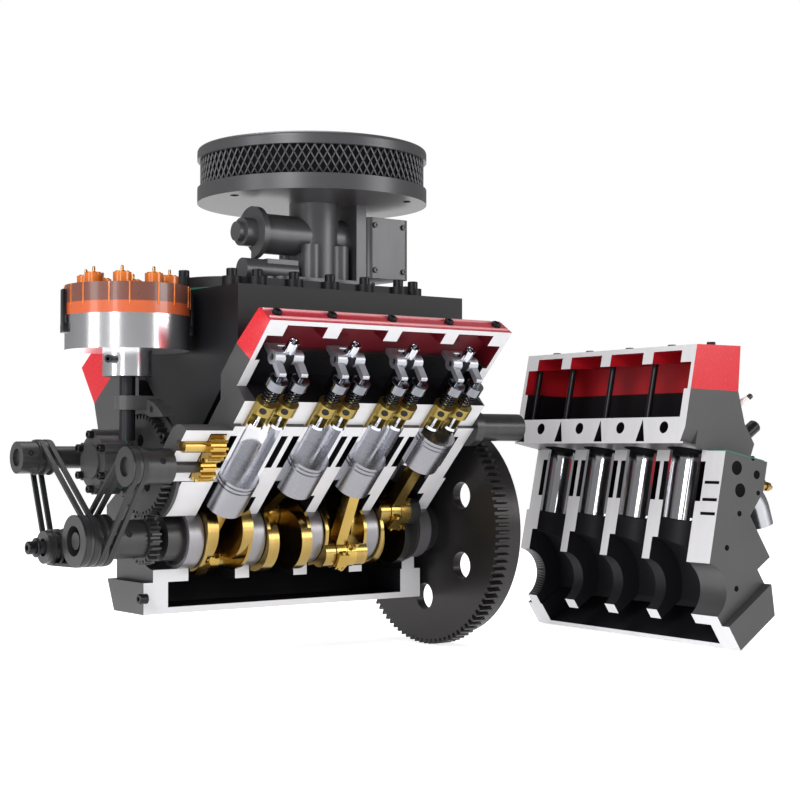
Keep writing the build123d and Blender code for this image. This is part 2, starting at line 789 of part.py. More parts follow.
# Connecting rods: brass, two bolts at the big end, a play of one millimetre hidden round the wrist pin
boss_length = (bore - rod_width) / 2 - piston_wall - rod_slot_play
for side, bank in ((near, "near"), (far, "far")):
    for index, angle in enumerate(pin_angles):
        x = cylinder_x(side, index)
        pin = (crank_throw * cos(radians(angle)), crank_throw * sin(radians(angle)))
        across_bank = pin[0] * side * cos(tilt) - pin[1] * sin(tilt)
        wrist_along = pin[0] * side * sin(tilt) + pin[1] * cos(tilt) + sqrt(rod_length**2 - across_bank**2)
        wrist = bank_point(side, wrist_along)
        lean_angle = atan2(wrist[1] - pin[1], wrist[0] - pin[0])
        rod_plane = Plane(
            origin=(x, crank_y + pin[0], crank_height + pin[1]),
            x_dir=(0, cos(lean_angle), sin(lean_angle)),
            z_dir=(1, 0, 0),
        )
        with BuildPart() as rod:
            with BuildSketch(rod_plane):
                Circle(big_end_radius)
                Rectangle(2 * big_end_lug, 2 * big_end_radius + big_end_lug)
                with Locations((rod_length, 0)):
                    Circle(small_end_radius)
                with BuildLine():
                    Polyline(
                        (0, -rod_shank_root),
                        (rod_length, -rod_shank_tip),
                        (rod_length, rod_shank_tip),
                        (0, rod_shank_root),
                        close=True,
                    )
                make_face()
                Circle(pin_radius + running_gap, mode=Mode.SUBTRACT)
                with Locations((rod_length, 0)):
                    Circle(wrist_pin_radius + small_end_play, mode=Mode.SUBTRACT)
            extrude(amount=rod_width / 2, both=True)
            with BuildSketch(rod_plane.offset(rod_width / 2)):
                with Locations((rod_length / 2, 0)):
                    SlotOverall(rod_length / 2, rod_shank_tip)
            extrude(amount=-rod_width / 4, mode=Mode.SUBTRACT)
            bolt_plane = Plane(origin=rod_plane.origin, x_dir=rod_plane.y_dir, z_dir=rod_plane.x_dir)
            with BuildSketch(bolt_plane.offset(-rod_bolt_length / 2)):
                with GridLocations(2 * big_end_radius + rod_bolt_radius, big_end_radius, 2, 1):
                    Circle(rod_bolt_radius)
            extrude(amount=rod_bolt_length)
        save(rod, f"{bank}_rod_{index + 1}")

        # Piston: crown, two ring grooves, hollow skirt and a solid wrist pin between its bosses
        base = bank_plane(side, x, wrist_along + compression_height - piston_length)
        with BuildPart() as piston:
            with BuildSketch(base):
                Circle(bore / 2 - running_gap)
            extrude(amount=piston_length)
            with BuildSketch(base):
                Circle(bore / 2 - piston_wall)
            extrude(amount=piston_length - piston_crown, mode=Mode.SUBTRACT)
            for groove in range(2):
                level = piston_length - (groove + 1) * (ring_land + ring_groove_width)
                with BuildSketch(base.offset(level)):
                    Circle(bore / 2)
                    Circle(bore / 2 - running_gap - ring_groove_depth, mode=Mode.SUBTRACT)
                extrude(amount=ring_groove_width, mode=Mode.SUBTRACT)
            for start, length, radius in (
                (-bore / 2 + piston_wall / 2, bore - piston_wall, wrist_pin_radius),
                (piston_wall - bore / 2, boss_length, small_end_radius),
                (bore / 2 - piston_wall - boss_length, boss_length, small_end_radius),
            ):
                with BuildSketch(across(x + start)):
                    with Locations(wrist):
                        Circle(radius)
                extrude(amount=length)
        save(piston, f"{bank}_piston_{index + 1}")

# Camshaft: five journals, sixteen lobes and the large timing gear
with BuildPart() as camshaft:
    with BuildSketch(across(timing_gear_front)):
        with Locations((0, cam_height)):
            Circle(cam_core_radius)
    extrude(amount=case_rear - timing_gear_front - overrun)
    for x in web_places:
        with BuildSketch(across(x - web_thickness / 2)):
            with Locations((0, cam_height)):
                Circle(cam_journal_radius)
        extrude(amount=web_thickness)
    for side in (near, far):
        bank_way = 90 - side * bank_angle
        for index, angle in enumerate(pin_angles):
            for hand in (-1, 1):
                x = cylinder_x(side, index) + hand * valve_offset
                way = radians(bank_way + (bank_way - angle) / 2 + hand * lobe_spread)
                with BuildSketch(across(x - cam_lobe_width / 2)):
                    with Locations((cam_lobe_lift * cos(way), cam_height + cam_lobe_lift * sin(way))):
                        Circle(cam_core_radius + cam_lobe_lift / 2)
                extrude(amount=cam_lobe_width)
    with BuildSketch(across(timing_gear_front)):
        with Locations((0, cam_height)):
            Polygon(*gear_outline(cam_gear_teeth, gear_module, 180 / cam_gear_teeth - 90), align=None)
            with PolarLocations(cam_gear_teeth * gear_module / 4, 5, start_angle=90):
                Circle(cam_journal_radius / 2, mode=Mode.SUBTRACT)
    extrude(amount=timing_gear_width)
save(camshaft, "camshaft")

def pulley_body(x, y, z, radius, grooves, hub_length, hub_front=False):
    """Grooved pulley with a hub for its set screw and a dished front face."""
    length = grooves * groove_pitch
    with BuildPart() as body:
        with BuildSketch(across(x)):
            with Locations((y, z)):
                Circle(radius)
        extrude(amount=length)
        for groove in range(grooves):
            with BuildSketch(across(x + (groove + 0.5) * groove_pitch - groove_width / 2)):
                with Locations((y, z)):
                    Circle(radius + overrun)
                    Circle(radius - groove_depth, mode=Mode.SUBTRACT)
            extrude(amount=groove_width, mode=Mode.SUBTRACT)
        hub_start = x - hub_length if hub_front else x + length
        with BuildSketch(across(hub_start)):
            with Locations((y, z)):
                Circle(min(pulley_hub_radius, radius - groove_depth / 2))
        extrude(amount=hub_length)
        face = hub_start if hub_front else x
        with BuildSketch(across(face)):
            with Locations((y, z)):
                Circle(min(pulley_dish_radius, radius / 2))
        extrude(amount=small_dish_depth, mode=Mode.SUBTRACT)
    return body.part


# Nose drive: timing gear keyed on the nose, then the four-groove pulley with its dish and long hub
crank_hub_length = timing_gear_front - part_gap - crank_pulley_front - crank_pulley_length
with BuildPart() as nose_drive:
    add(pulley_body(crank_pulley_front, 0, 0, crank_pulley_radius, 4, crank_hub_length))
    with BuildSketch(across(crank_pulley_front)):
        Circle(pulley_dish_radius)
    extrude(amount=pulley_dish_depth, mode=Mode.SUBTRACT)
    with BuildSketch(across(timing_gear_front)):
        Polygon(*gear_outline(crank_gear_teeth, gear_module, 90), align=None)
    extrude(amount=timing_gear_width)
    with BuildSketch(across(crank_pulley_front)):
        Circle(nose_radius)
    extrude(amount=case_front - crank_pulley_front, mode=Mode.SUBTRACT)
save(nose_drive, "nose_drive")

# Oil pump: two meshing brass gears in a housing that is cut on the same plane as the bank
pump_pitch_radius = pump_gear_module * pump_gear_teeth / 2
pump_low = bank_point(near, pump_low_along)
pump_high_along = pump_low_along + 2 * pump_pitch_radius
pump_high = bank_point(near, pump_high_along)
pump_room = pump_pitch_radius + pump_gear_module + part_gap
pump_gear_rear = bank_front - pump_wall - part_gap
pump_gear_front = pump_gear_rear - pump_gear_width
with BuildPart() as oil_pump_housing:
    with BuildSketch(across(pump_front)):
        for centre in (pump_low, pump_high):
            with Locations(centre):
                Circle(pump_room + pump_wall)
        with Locations(((pump_low[0] + pump_high[0]) / 2, (pump_low[1] + pump_high[1]) / 2)):
            Rectangle(2 * pump_pitch_radius, 2 * (pump_room + pump_wall), rotation=-bank_angle)
        Polygon(*outboard_region(near, 0, 0, far_reach), align=None, mode=Mode.SUBTRACT)
    extrude(amount=bank_front - pump_front)
    with BuildSketch(across(pump_gear_front - part_gap)):
        for centre in (pump_low, pump_high):
            with Locations(centre):
                Circle(pump_room)
    extrude(amount=pump_gear_width + 2 * part_gap, mode=Mode.SUBTRACT)
    with BuildSketch(across(pump_front - overrun)):
        for centre in (pump_low, pump_high):
            with Locations(centre):
                Circle(pump_shaft_radius + running_gap)
    extrude(amount=bank_front - pump_front - pump_wall / 2, mode=Mode.SUBTRACT)
save(oil_pump_housing, "oil_pump_housing")

pump_pulley_front = crank_pulley_front + 2 * groove_pitch
with BuildPart() as oil_pump_drive:
    with BuildSketch(across(pump_gear_front)):
        with Locations(pump_low):
            Polygon(*gear_outline(pump_gear_teeth, pump_gear_module, 90 + bank_angle), align=None)
    extrude(amount=pump_gear_width)
    with BuildSketch(across(pump_pulley_front + overrun)):
        with Locations(pump_low):
            Circle(pump_shaft_radius)
    extrude(amount=pump_gear_rear - pump_pulley_front - overrun)
    add(
        pulley_body(
            pump_pulley_front,
            *pump_low,
            pump_pulley_radius,
            2,
            pump_front - part_gap - pump_pulley_front - 2 * groove_pitch,
        )
    )
save(oil_pump_drive, "oil_pump_drive")

with BuildPart() as oil_pump_gear:
    with BuildSketch(across(pump_gear_front)):
        with Locations(pump_high):
            meshed_turn = 180 / pump_gear_teeth - bank_angle
            Polygon(*gear_outline(pump_gear_teeth, pump_gear_module, meshed_turn), align=None)
    extrude(amount=pump_gear_width)
    with BuildSketch(across(pump_front + pump_wall)):
        with Locations(pump_high):
            Circle(pump_shaft_radius)
    extrude(amount=pump_gear_rear - pump_front - pump_wall)
save(oil_pump_gear, "oil_pump_gear")

# Timing plate: steel plate behind the gears, with an arch over the cam gear and the distributor's clamp lug
upright = Plane(origin=(distributor_x, crank_y, crank_height))
plate_thickness = -part_gap + case_front - timing_gear_front - timing_gear_width
cam_gear_tip = gear_module * (cam_gear_teeth / 2 + tooth_tip_share)
with BuildPart() as timing_plate:
    with BuildSketch(across(case_front - plate_thickness)):
        with Locations((0, cam_height)):
            Circle(cam_gear_tip + water_pump_ear)
            Circle(cam_journal_radius, mode=Mode.SUBTRACT)
        Circle(main_bore_radius, mode=Mode.SUBTRACT)
        for centre in (pump_low, pump_high):
            with Locations(centre):
                Circle(pump_room + pump_wall + part_gap, mode=Mode.SUBTRACT)
    extrude(amount=plate_thickness)
    with BuildSketch(across(timing_gear_front)):
        with Locations((0, cam_height)):
            Circle(arch_radius)
            Circle(cam_gear_tip + part_gap, mode=Mode.SUBTRACT)
            for turn in (-arch_screw_turn, arch_screw_turn):
                with PolarLocations(arch_screw_ring, 1, start_angle=90 + turn):
                    Circle(arch_hole_radius, mode=Mode.SUBTRACT)
            with Locations((0, -arch_foot)):
                Rectangle(2 * arch_radius, 2 * arch_radius, mode=Mode.SUBTRACT)
    extrude(amount=case_front - timing_gear_front)
    with BuildSketch(upright.offset(cam_height + cam_gear_tip + pump_wall)):
        with Locations(((case_front - distributor_x) / 2, 0)):
            Rectangle(case_front - distributor_x, 2 * distributor_tube_radius + 2 * pump_wall)
        Circle(distributor_tube_radius + pump_wall)
        Circle(distributor_tube_radius + running_gap, mode=Mode.SUBTRACT)
    extrude(amount=2 * pump_wall + water_pump_ear)
save(timing_plate, "timing_plate")

# Water pump: round body on the timing plate's far side, six screw ears and a raised lid
with BuildPart() as water_pump:
    with BuildSketch(across(water_pump_front)):
        with Locations((water_pump_y, water_pump_z)):
            Circle(water_pump_radius)
            with PolarLocations(water_pump_radius, 6, start_angle=30):
                Circle(water_pump_ear)
    extrude(amount=timing_gear_front - water_pump_front - part_gap)
    with BuildSketch(across(water_pump_front)):
        with Locations((water_pump_y, water_pump_z)):
            with PolarLocations(water_pump_radius, 2, start_angle=-30, angular_range=120):
                Circle(water_pump_ear - running_gap)
    extrude(amount=bank_front - water_pump_front)
    with BuildSketch(across(water_pump_front)):
        with Locations((water_pump_y, water_pump_z)):
            Circle(water_pump_lid_radius)
    extrude(amount=-cover_wall / 2)
save(water_pump, "water_pump")

# Accessory carriers: the generator's bearing housing and the idler's stud
generator_front = crank_pulley_front
generator_pulley_rear = generator_front + 2 * groove_pitch
with BuildPart() as accessory_carriers:
    with BuildSketch(across(generator_pulley_rear + part_gap)):
        with Locations((generator_y, generator_z)):
            Circle(generator_radius)
    extrude(amount=bank_front - generator_pulley_rear - part_gap)
    with BuildSketch(across(generator_front)):
        with Locations((generator_y, generator_z)):
            Circle(idler_bore - running_gap)
    extrude(amount=bank_front - generator_front)
    with BuildSketch(across(crank_pulley_front - pulley_dish_depth)):
        with Locations((idler_y, idler_z)):
            Circle(idler_bore - running_gap)
    extrude(amount=case_front - crank_pulley_front + pulley_dish_depth)
    with BuildSketch(across(generator_pulley_rear + part_gap)):
        with Locations((idler_y, idler_z)):
            Circle(generator_radius)
    extrude(amount=case_front - generator_pulley_rear - part_gap)
save(accessory_carriers, "accessory_carriers")

with BuildPart() as generator_pulley:
    generator_place = (generator_front, generator_y, generator_z)
    add(pulley_body(*generator_place, generator_pulley_radius, 2, pulley_hub_radius, True))
    with BuildSketch(across(generator_front - part_gap)):
        with Locations((generator_y, generator_z)):
            Circle(idler_bore)
    extrude(amount=2 * groove_pitch + overrun, mode=Mode.SUBTRACT)
save(generator_pulley, "generator_pulley")

with BuildPart() as idler_pulley:
    add(pulley_body(generator_front, idler_y, idler_z, idler_radius, 2, 2 * small_dish_depth, True))
    with BuildSketch(across(generator_front - pulley_dish_depth)):
        with Locations((idler_y, idler_z)):
            Circle(idler_bore)
    extrude(amount=2 * groove_pitch + 2 * pulley_dish_depth, mode=Mode.SUBTRACT)
save(idler_pulley, "idler_pulley")


def belt_loop(x, wheels):
    """Closed belt round two or three wheels, each given as Y, Z and radius of its groove."""
    with BuildPart() as loop:
        for grow, mode in ((part_gap + belt_thickness, Mode.ADD), (part_gap, Mode.SUBTRACT)):
            with BuildSketch(across(x)) as outline:
                for y, z, radius in wheels:
                    with Locations((y, z)):
                        Circle(radius + grow)
                make_hull()
            extrude(amount=groove_width - part_gap, mode=mode)
    return loop.part


# Drive belts: two strands over crank, idler and generator, two over crank and oil pump
crank_groove = (0, 0, crank_pulley_radius - groove_depth)
with BuildPart() as drive_belts:
    for groove in range(4):
        x = crank_pulley_front + (groove + 0.5) * groove_pitch - groove_width / 2 + part_gap / 2
        if groove < 2:
            add(
                belt_loop(
                    x,
                    (
                        crank_groove,
                        (idler_y, idler_z, idler_radius - groove_depth),
                        (generator_y, generator_z, generator_pulley_radius - groove_depth),
                    ),
                )
            )
        else:
            add(belt_loop(x, (crank_groove, (*pump_low, pump_pulley_radius - groove_depth))))
save(drive_belts, "drive_belts")

# Distributor: turned aluminium bowl on a neck and a black drive tube, amber cap with eight towers
with BuildPart() as distributor_body:
    with BuildSketch(upright.offset(distributor_floor)):
        Circle(distributor_radius)
    extrude(amount=distributor_rim - distributor_floor)
    with BuildSketch(upright.offset(distributor_floor + distributor_wall)):
        Circle(distributor_radius - distributor_wall)
    extrude(amount=distributor_rim - distributor_floor, mode=Mode.SUBTRACT)
    with BuildSketch(upright.offset(distributor_neck_bottom)):
        Circle(distributor_neck_radius)
    extrude(amount=distributor_floor - distributor_neck_bottom)
    with BuildSketch(upright.offset(distributor_tube_bottom)):
        Circle(distributor_tube_radius)
    extrude(amount=distributor_neck_bottom - distributor_tube_bottom)
    with BuildSketch(upright.offset(distributor_tube_bottom - overrun)):
        Circle(distributor_spindle_radius + running_gap)
    extrude(amount=distributor_rim - distributor_tube_bottom, mode=Mode.SUBTRACT)
save(distributor_body, "distributor_body")

with BuildPart() as distributor_cap:
    with BuildSketch(upright.offset(distributor_rim)):
        Circle(distributor_radius)
    extrude(amount=distributor_cap_top - distributor_rim)
    with BuildSketch(upright.offset(distributor_cap_top)):
        with PolarLocations(tower_ring, 8, start_angle=10):
            Circle(tower_radius)
    extrude(amount=tower_height)
    with BuildSketch(upright.offset(distributor_rim)):
        Circle(distributor_radius - distributor_wall)
    extrude(amount=distributor_cap_top - distributor_rim - distributor_wall, mode=Mode.SUBTRACT)
save(distributor_cap, "distributor_cap")

with BuildPart() as distributor_rotor:
    with BuildSketch(upright.offset(distributor_tube_bottom)):
        Circle(distributor_spindle_radius)
    extrude(amount=distributor_rim - distributor_tube_bottom)
    with BuildSketch(upright.offset(distributor_rim)):
        Circle(rotor_radius / 2)
        with Locations((rotor_radius / 2, 0)):
            Rectangle(rotor_radius, rotor_radius / 2)
    extrude(amount=(distributor_cap_top - distributor_rim) / 2)
save(distributor_rotor, "distributor_rotor")

# Intake manifold: black casting that fills the valley, a bolted upper deck and a plenum
valley_side = head_inboard + part_gap
shoulder_z = manifold_shoulder + valley_side / sin(tilt)
floor_z = valley_height + part_gap
floor_y = floor_z - valley_side / sin(tilt)
with BuildPart() as intake_manifold:
    with BuildSketch(across(manifold_front)):
        Polygon(
            (-floor_y, floor_z),
            (floor_y, floor_z),
            (manifold_shoulder, shoulder_z),
            (manifold_shoulder, manifold_deck),
            (-manifold_shoulder, manifold_deck),
            (-manifold_shoulder, shoulder_z),
            align=None,
        )
    extrude(amount=manifold_rear - manifold_front)
    with BuildSketch(Plane(origin=(0, crank_y, crank_height + manifold_deck))):
        SlotOverall(2 * plenum_end + 2 * plenum_half_width, 2 * plenum_half_width)
        with GridLocations(plenum_screw_pitch, 2 * plenum_half_width, 5, 2):
            Circle(plenum_ear)
        for hand in (-1, 1):
            with Locations((hand * plenum_end, 0)):
                with PolarLocations(plenum_half_width, 3, start_angle=90 - hand * 90 - 60, angular_range=180):
                    Circle(plenum_ear)
    extrude(amount=plenum_top - manifold_deck)
save(intake_manifold, "intake_manifold")

# Carburettor: zinc casting with a cross barrel on posts, a throat, a pump cylinder, a slab and a float bowl
def carb_level(x, height):
    """Level plane over the crank at a height above its axis."""
    return Plane(origin=(x, crank_y, crank_height + height))


with BuildPart() as carburetor:
    with BuildSketch(carb_level(carb_x, plenum_top)):
        RectangleRounded(carb_foot_length, 2 * carb_half_width, carb_post_radius)
    extrude(amount=carb_foot_height)
    with BuildSketch(carb_level(carb_x, plenum_top)):
        Circle(carb_throat_radius)
    extrude(amount=air_base_bottom - plenum_top)
    with BuildSketch(carb_level(carb_x, plenum_top)):
        with GridLocations(carb_post_pitch, 2 * carb_barrel_radius, 2, 2):
            Circle(carb_post_radius)
    extrude(amount=carb_barrel_height - carb_post_radius - plenum_top)
    with BuildSketch(across(carb_barrel_front)):
        with Locations((0, carb_barrel_height)):
            Circle(carb_barrel_radius)
    extrude(amount=slab_front - carb_barrel_front)
    with BuildSketch(carb_level((carb_barrel_front - pump_block_length) / 2, plenum_top)):
        Rectangle(-carb_barrel_front - pump_block_length, 2 * carb_barrel_radius)
    extrude(amount=pump_cylinder_height + pump_cylinder_radius - plenum_top)
    with BuildSketch(across(pump_cylinder_front)):
        with Locations((-pump_cylinder_radius, pump_cylinder_height)):
            Circle(pump_cylinder_radius)
    extrude(amount=-pump_cylinder_front - pump_block_length)
    with BuildSketch(carb_level((slab_front + bowl_front) / 2, plenum_top)):
        Rectangle(bowl_front - slab_front, 2 * carb_half_width)
    extrude(amount=air_base_bottom - plenum_top)
    with BuildSketch(carb_level((bowl_front + bowl_rear) / 2, plenum_top + bowl_rise)):
        RectangleRounded(bowl_rear - bowl_front, 2 * bowl_half_width, carb_foot_height)
    extrude(amount=air_base_bottom - bowl_gap - plenum_top - bowl_rise)
save(carburetor, "carburetor")

with BuildPart() as throttle_quadrant:
    quadrant_front = carb_barrel_front - part_gap - throttle_thickness
    with BuildSketch(across(quadrant_front)):
        with Locations((0, carb_barrel_height)):
            Circle(throttle_radius)
            with Locations((throttle_radius, -throttle_radius)):
                Rectangle(2 * throttle_radius, 2 * throttle_radius, mode=Mode.SUBTRACT)
    extrude(amount=throttle_thickness)
    for radius, reach in ((throttle_hub_radius, 2), (throttle_cap_radius, 3)):
        with BuildSketch(across(quadrant_front - reach * throttle_thickness)):
            with Locations((0, carb_barrel_height)):
                Circle(radius)
        extrude(amount=(reach + 1) * throttle_thickness)
save(throttle_quadrant, "throttle_quadrant")

# Air cleaner: pressed base and lid, an expanded metal band between them, one centre nut
air_plane = Plane(origin=(air_x, crank_y, crank_height))
with BuildPart() as air_cleaner_base:
    with BuildSketch(air_plane.offset(air_base_bottom)):
        Circle(air_radius)
    extrude(amount=air_base_top - air_base_bottom)
save(air_cleaner_base, "air_cleaner_base")

with BuildPart() as air_cleaner_band:
    with BuildSketch(air_plane.offset(air_base_top)):
        Circle(air_mesh_radius)
        Circle(air_mesh_radius - air_mesh_wall, mode=Mode.SUBTRACT)
    extrude(amount=air_mesh_top - air_base_top)
save(air_cleaner_band, "air_cleaner_band")

with BuildPart() as air_cleaner_lid:
    with BuildSketch(air_plane.offset(air_mesh_top)):
        Circle(air_radius)
    extrude(amount=air_lid_top - air_mesh_top)
    fillet(air_cleaner_lid.edges().filter_by(GeomType.CIRCLE).sort_by(Axis.Z)[-1], air_mesh_wall)
    with BuildSketch(air_plane.offset(air_lid_top)):
        RegularPolygon(air_nut_radius, 6)
    extrude(amount=air_nut_height)
    with BuildSketch(air_plane.offset(air_base_top)):
        Circle(air_stud_radius)
    extrude(amount=air_mesh_top - air_base_top)
save(air_cleaner_lid, "air_cleaner_lid")

# Flywheel: toothed ring, wide rim, web with round lightening holes, bolted on the crank flange
with BuildPart() as flywheel:
    with BuildSketch(across(flywheel_front)):
        Polygon(*gear_outline(ring_gear_teeth, 2 * ring_gear_radius / ring_gear_teeth, 0), align=None)
        Circle(flywheel_rim_radius - flywheel_rim_wall, mode=Mode.SUBTRACT)
    extrude(amount=ring_gear_width)
    with BuildSketch(across(flywheel_front + ring_gear_width)):
        Circle(flywheel_rim_radius)
        Circle(flywheel_rim_radius - flywheel_rim_wall, mode=Mode.SUBTRACT)
    extrude(amount=flywheel_rim_width)
    with BuildSketch(across(flywheel_front)):
        Circle(flywheel_rim_radius - flywheel_rim_wall / 2)
        with PolarLocations(flywheel_hole_ring, flywheel_holes, start_angle=30):
            Circle(flywheel_hole_radius, mode=Mode.SUBTRACT)
    extrude(amount=flywheel_web)
save(flywheel, "flywheel")

# Starter: small motor on the rear of the open bank, beyond the ring gear's rim
with BuildPart() as starter_motor:
    with BuildSketch(across(bank_rear)):
        with Locations((starter_y, starter_z)):
            Circle(starter_radius)
    extrude(amount=starter_rear - bank_rear)
    with BuildSketch(across(bank_rear)):
        with Locations((starter_y, starter_z)):
            Circle(starter_radius + flywheel_web / 2)
    extrude(amount=flywheel_web)
save(starter_motor, "starter_motor")


# Removed half: what the cutaway took off the open bank, standing apart from the engine
with BuildPart() as near_outer_block:
    add(near_half)
    with BuildSketch(across(case_front - overrun)):
        Polygon(*removed_region(), align=None)
    extrude(amount=case_rear - case_front + 2 * overrun, mode=Mode.INTERSECT)
    with BuildSketch(across(case_front)):
        Polygon(*bank_outline(near, 0), align=None)
    extrude(amount=bank_front - case_front)
    add(pan_half(near))
with BuildPart() as removed_block:
    add(set_apart(near_outer_block.part))
save(removed_block, "removed_block")

with BuildPart() as near_outer_head:
    add(near_head_body)
    with BuildSketch(across(bank_front - overrun)):
        Polygon(*outboard_region(near, removed_head_cut, 0, far_reach), align=None)
    extrude(amount=bank_rear - bank_front + 2 * overrun, mode=Mode.INTERSECT)
    for index in range(cylinders_per_bank):
        with BuildSketch(bank_plane(near, cylinder_x(near, index), deck_along)):
            Circle(bore / 2)
        extrude(amount=chamber_depth, mode=Mode.SUBTRACT)
    saw_y, saw_z = bank_point(near, port_along, removed_head_cut)
    saw_plane = Plane(
        origin=(0, crank_y + saw_y, crank_height + saw_z), x_dir=(1, 0, 0), z_dir=(0, -sin(tilt), -cos(tilt))
    )
    with BuildSketch(saw_plane):
        with Locations(*[(cylinder_x(near, index), 0) for index in range(cylinders_per_bank)]):
            Circle(port_radius)
    extrude(amount=port_depth, mode=Mode.SUBTRACT)
    with BuildSketch(saw_plane):
        for index in range(cylinders_per_bank + 1):
            middle = web_places[index] - rod_shift
            Polygon(
                (middle - slot_half_width, deck_along - port_along + overrun / 2),
                (middle + slot_half_width, deck_along - port_along + overrun / 2),
                (middle, rocker_floor - port_along - overrun / 2),
                align=None,
            )
    extrude(amount=slot_depth, mode=Mode.SUBTRACT)
with BuildPart() as removed_head:
    add(set_apart(near_outer_head.part))
save(removed_head, "removed_head")

with BuildPart() as near_outer_cover:
    add(near_cover_shell)
    with BuildSketch(across(bank_front - overrun)):
        Polygon(*outboard_region(near, removed_head_cut, 0, far_reach), align=None)
    extrude(amount=bank_rear - bank_front + 2 * overrun, mode=Mode.INTERSECT)
with BuildPart() as removed_cover:
    add(set_apart(near_outer_cover.part))
save(removed_cover, "removed_cover")

# Exhaust elbows: one open steel bend low on the outboard side of each bank
def exhaust_elbow(side):
    """Bend that leaves a bank square to its side and turns down."""
    start = bank_point(side, elbow_along, -bank_outboard)
    way = radians(-90 + side * bank_angle)
    last = way - side * radians(elbow_turn)
    bend_start = (start[0] + elbow_reach * cos(way), start[1] + elbow_reach * sin(way))
    centre = (bend_start[0] + side * elbow_bend * sin(way), bend_start[1] - side * elbow_bend * cos(way))
    around = [
        (centre[0] - side * elbow_bend * sin(turn), centre[1] + side * elbow_bend * cos(turn))
        for turn in ((way + last) / 2, last)
    ]
    with BuildPart() as bend:
        with BuildLine(across(elbow_x)):
            Line(start, bend_start)
            ThreePointArc(bend_start, *around)
            Line(around[1], (around[1][0] + elbow_reach * cos(last), around[1][1] + elbow_reach * sin(last)))
        with BuildSketch(bank_plane(side, elbow_x, elbow_along, -bank_outboard).rotated((90, 0, 0))):
            Circle(elbow_radius)
            Circle(elbow_radius - elbow_wall, mode=Mode.SUBTRACT)
        sweep()
    return bend.part


with BuildPart() as exhaust_elbows:
    add(set_apart(exhaust_elbow(near)))
    add(exhaust_elbow(far))
save(exhaust_elbows, "exhaust_elbows")
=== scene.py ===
import bmesh
import bpy
from math import cos, pi, radians, sin, sqrt
from mathutils import Matrix, Vector


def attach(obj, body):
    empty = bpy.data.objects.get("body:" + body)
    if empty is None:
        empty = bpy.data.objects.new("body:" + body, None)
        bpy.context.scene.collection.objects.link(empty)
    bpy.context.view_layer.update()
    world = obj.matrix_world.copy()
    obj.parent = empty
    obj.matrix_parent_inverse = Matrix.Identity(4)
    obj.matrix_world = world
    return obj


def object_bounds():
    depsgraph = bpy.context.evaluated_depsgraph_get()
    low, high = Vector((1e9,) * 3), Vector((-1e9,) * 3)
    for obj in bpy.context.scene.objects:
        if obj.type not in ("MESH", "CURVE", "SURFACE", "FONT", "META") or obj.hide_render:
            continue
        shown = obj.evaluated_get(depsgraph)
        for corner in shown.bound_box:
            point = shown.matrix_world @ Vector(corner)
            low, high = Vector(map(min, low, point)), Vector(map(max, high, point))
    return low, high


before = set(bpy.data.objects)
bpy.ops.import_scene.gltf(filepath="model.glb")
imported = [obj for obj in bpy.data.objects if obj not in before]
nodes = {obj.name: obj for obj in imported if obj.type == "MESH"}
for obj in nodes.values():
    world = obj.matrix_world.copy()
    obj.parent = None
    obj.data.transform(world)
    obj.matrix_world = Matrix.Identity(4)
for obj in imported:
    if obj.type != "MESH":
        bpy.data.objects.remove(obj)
cad_low, cad_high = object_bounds()


# Cylinder block and oil pan: aluminium castings in satin grey enamel, sawn open along the near bank.
# The saw cut is left bare and pale, while the crank chambers and water jackets are coloured black inside as painted
# shade.
# Places are in millimetres from the crank's axis, and both banks lean 45 degrees from upright.
MM = 0.001
CRANK_Y, CRANK_Z = -12.0, 36.0
LEAN = sqrt(0.5)
BANK_END = 70.0
DECK = 74.0
CHAMBER_RADIUS = 27.3
JACKET_HALF_WIDTH = 15.9
TRAY_ENDS = (-75.2, 63.2)
TRAY_HALF_WIDTH = 31.5
TRAY_HEIGHTS = (-33.2, -20.9)
OUT_LOW = Vector((0, -LEAN, -LEAN))
OUT_SIDE = Vector((0, -1, 0))
APART = (
    Matrix.Translation(Vector((174.0, CRANK_Y - 33.0, CRANK_Z - 31.1)) * MM)
    @ Matrix.Rotation(radians(87.0), 4, "Z")
    @ Matrix.Rotation(radians(-33.4), 4, "X")
    @ Matrix.Translation(Vector((0, -CRANK_Y, -CRANK_Z)) * MM)
)


def linear(colour):
    """Scene colour of an sRGB hex value."""
    channels = [int(colour[i : i + 2], 16) / 255 for i in (1, 3, 5)]
    return tuple(c / 12.92 if c < 0.04045 else ((c + 0.055) / 1.055) ** 2.4 for c in channels) + (1.0,)


def node(tree, kind, settings=None, links=None):
    """Add one node to a tree with its settings and the outputs that feed it."""
    new = tree.nodes.new(kind)
    for key, value in (settings or {}).items():
        if isinstance(key, str) and hasattr(new, key):
            setattr(new, key, value)
        else:
            new.inputs[key].default_value = value
    for key, source in (links or {}).items():
        tree.links.new(source, new.inputs[key])
    return new


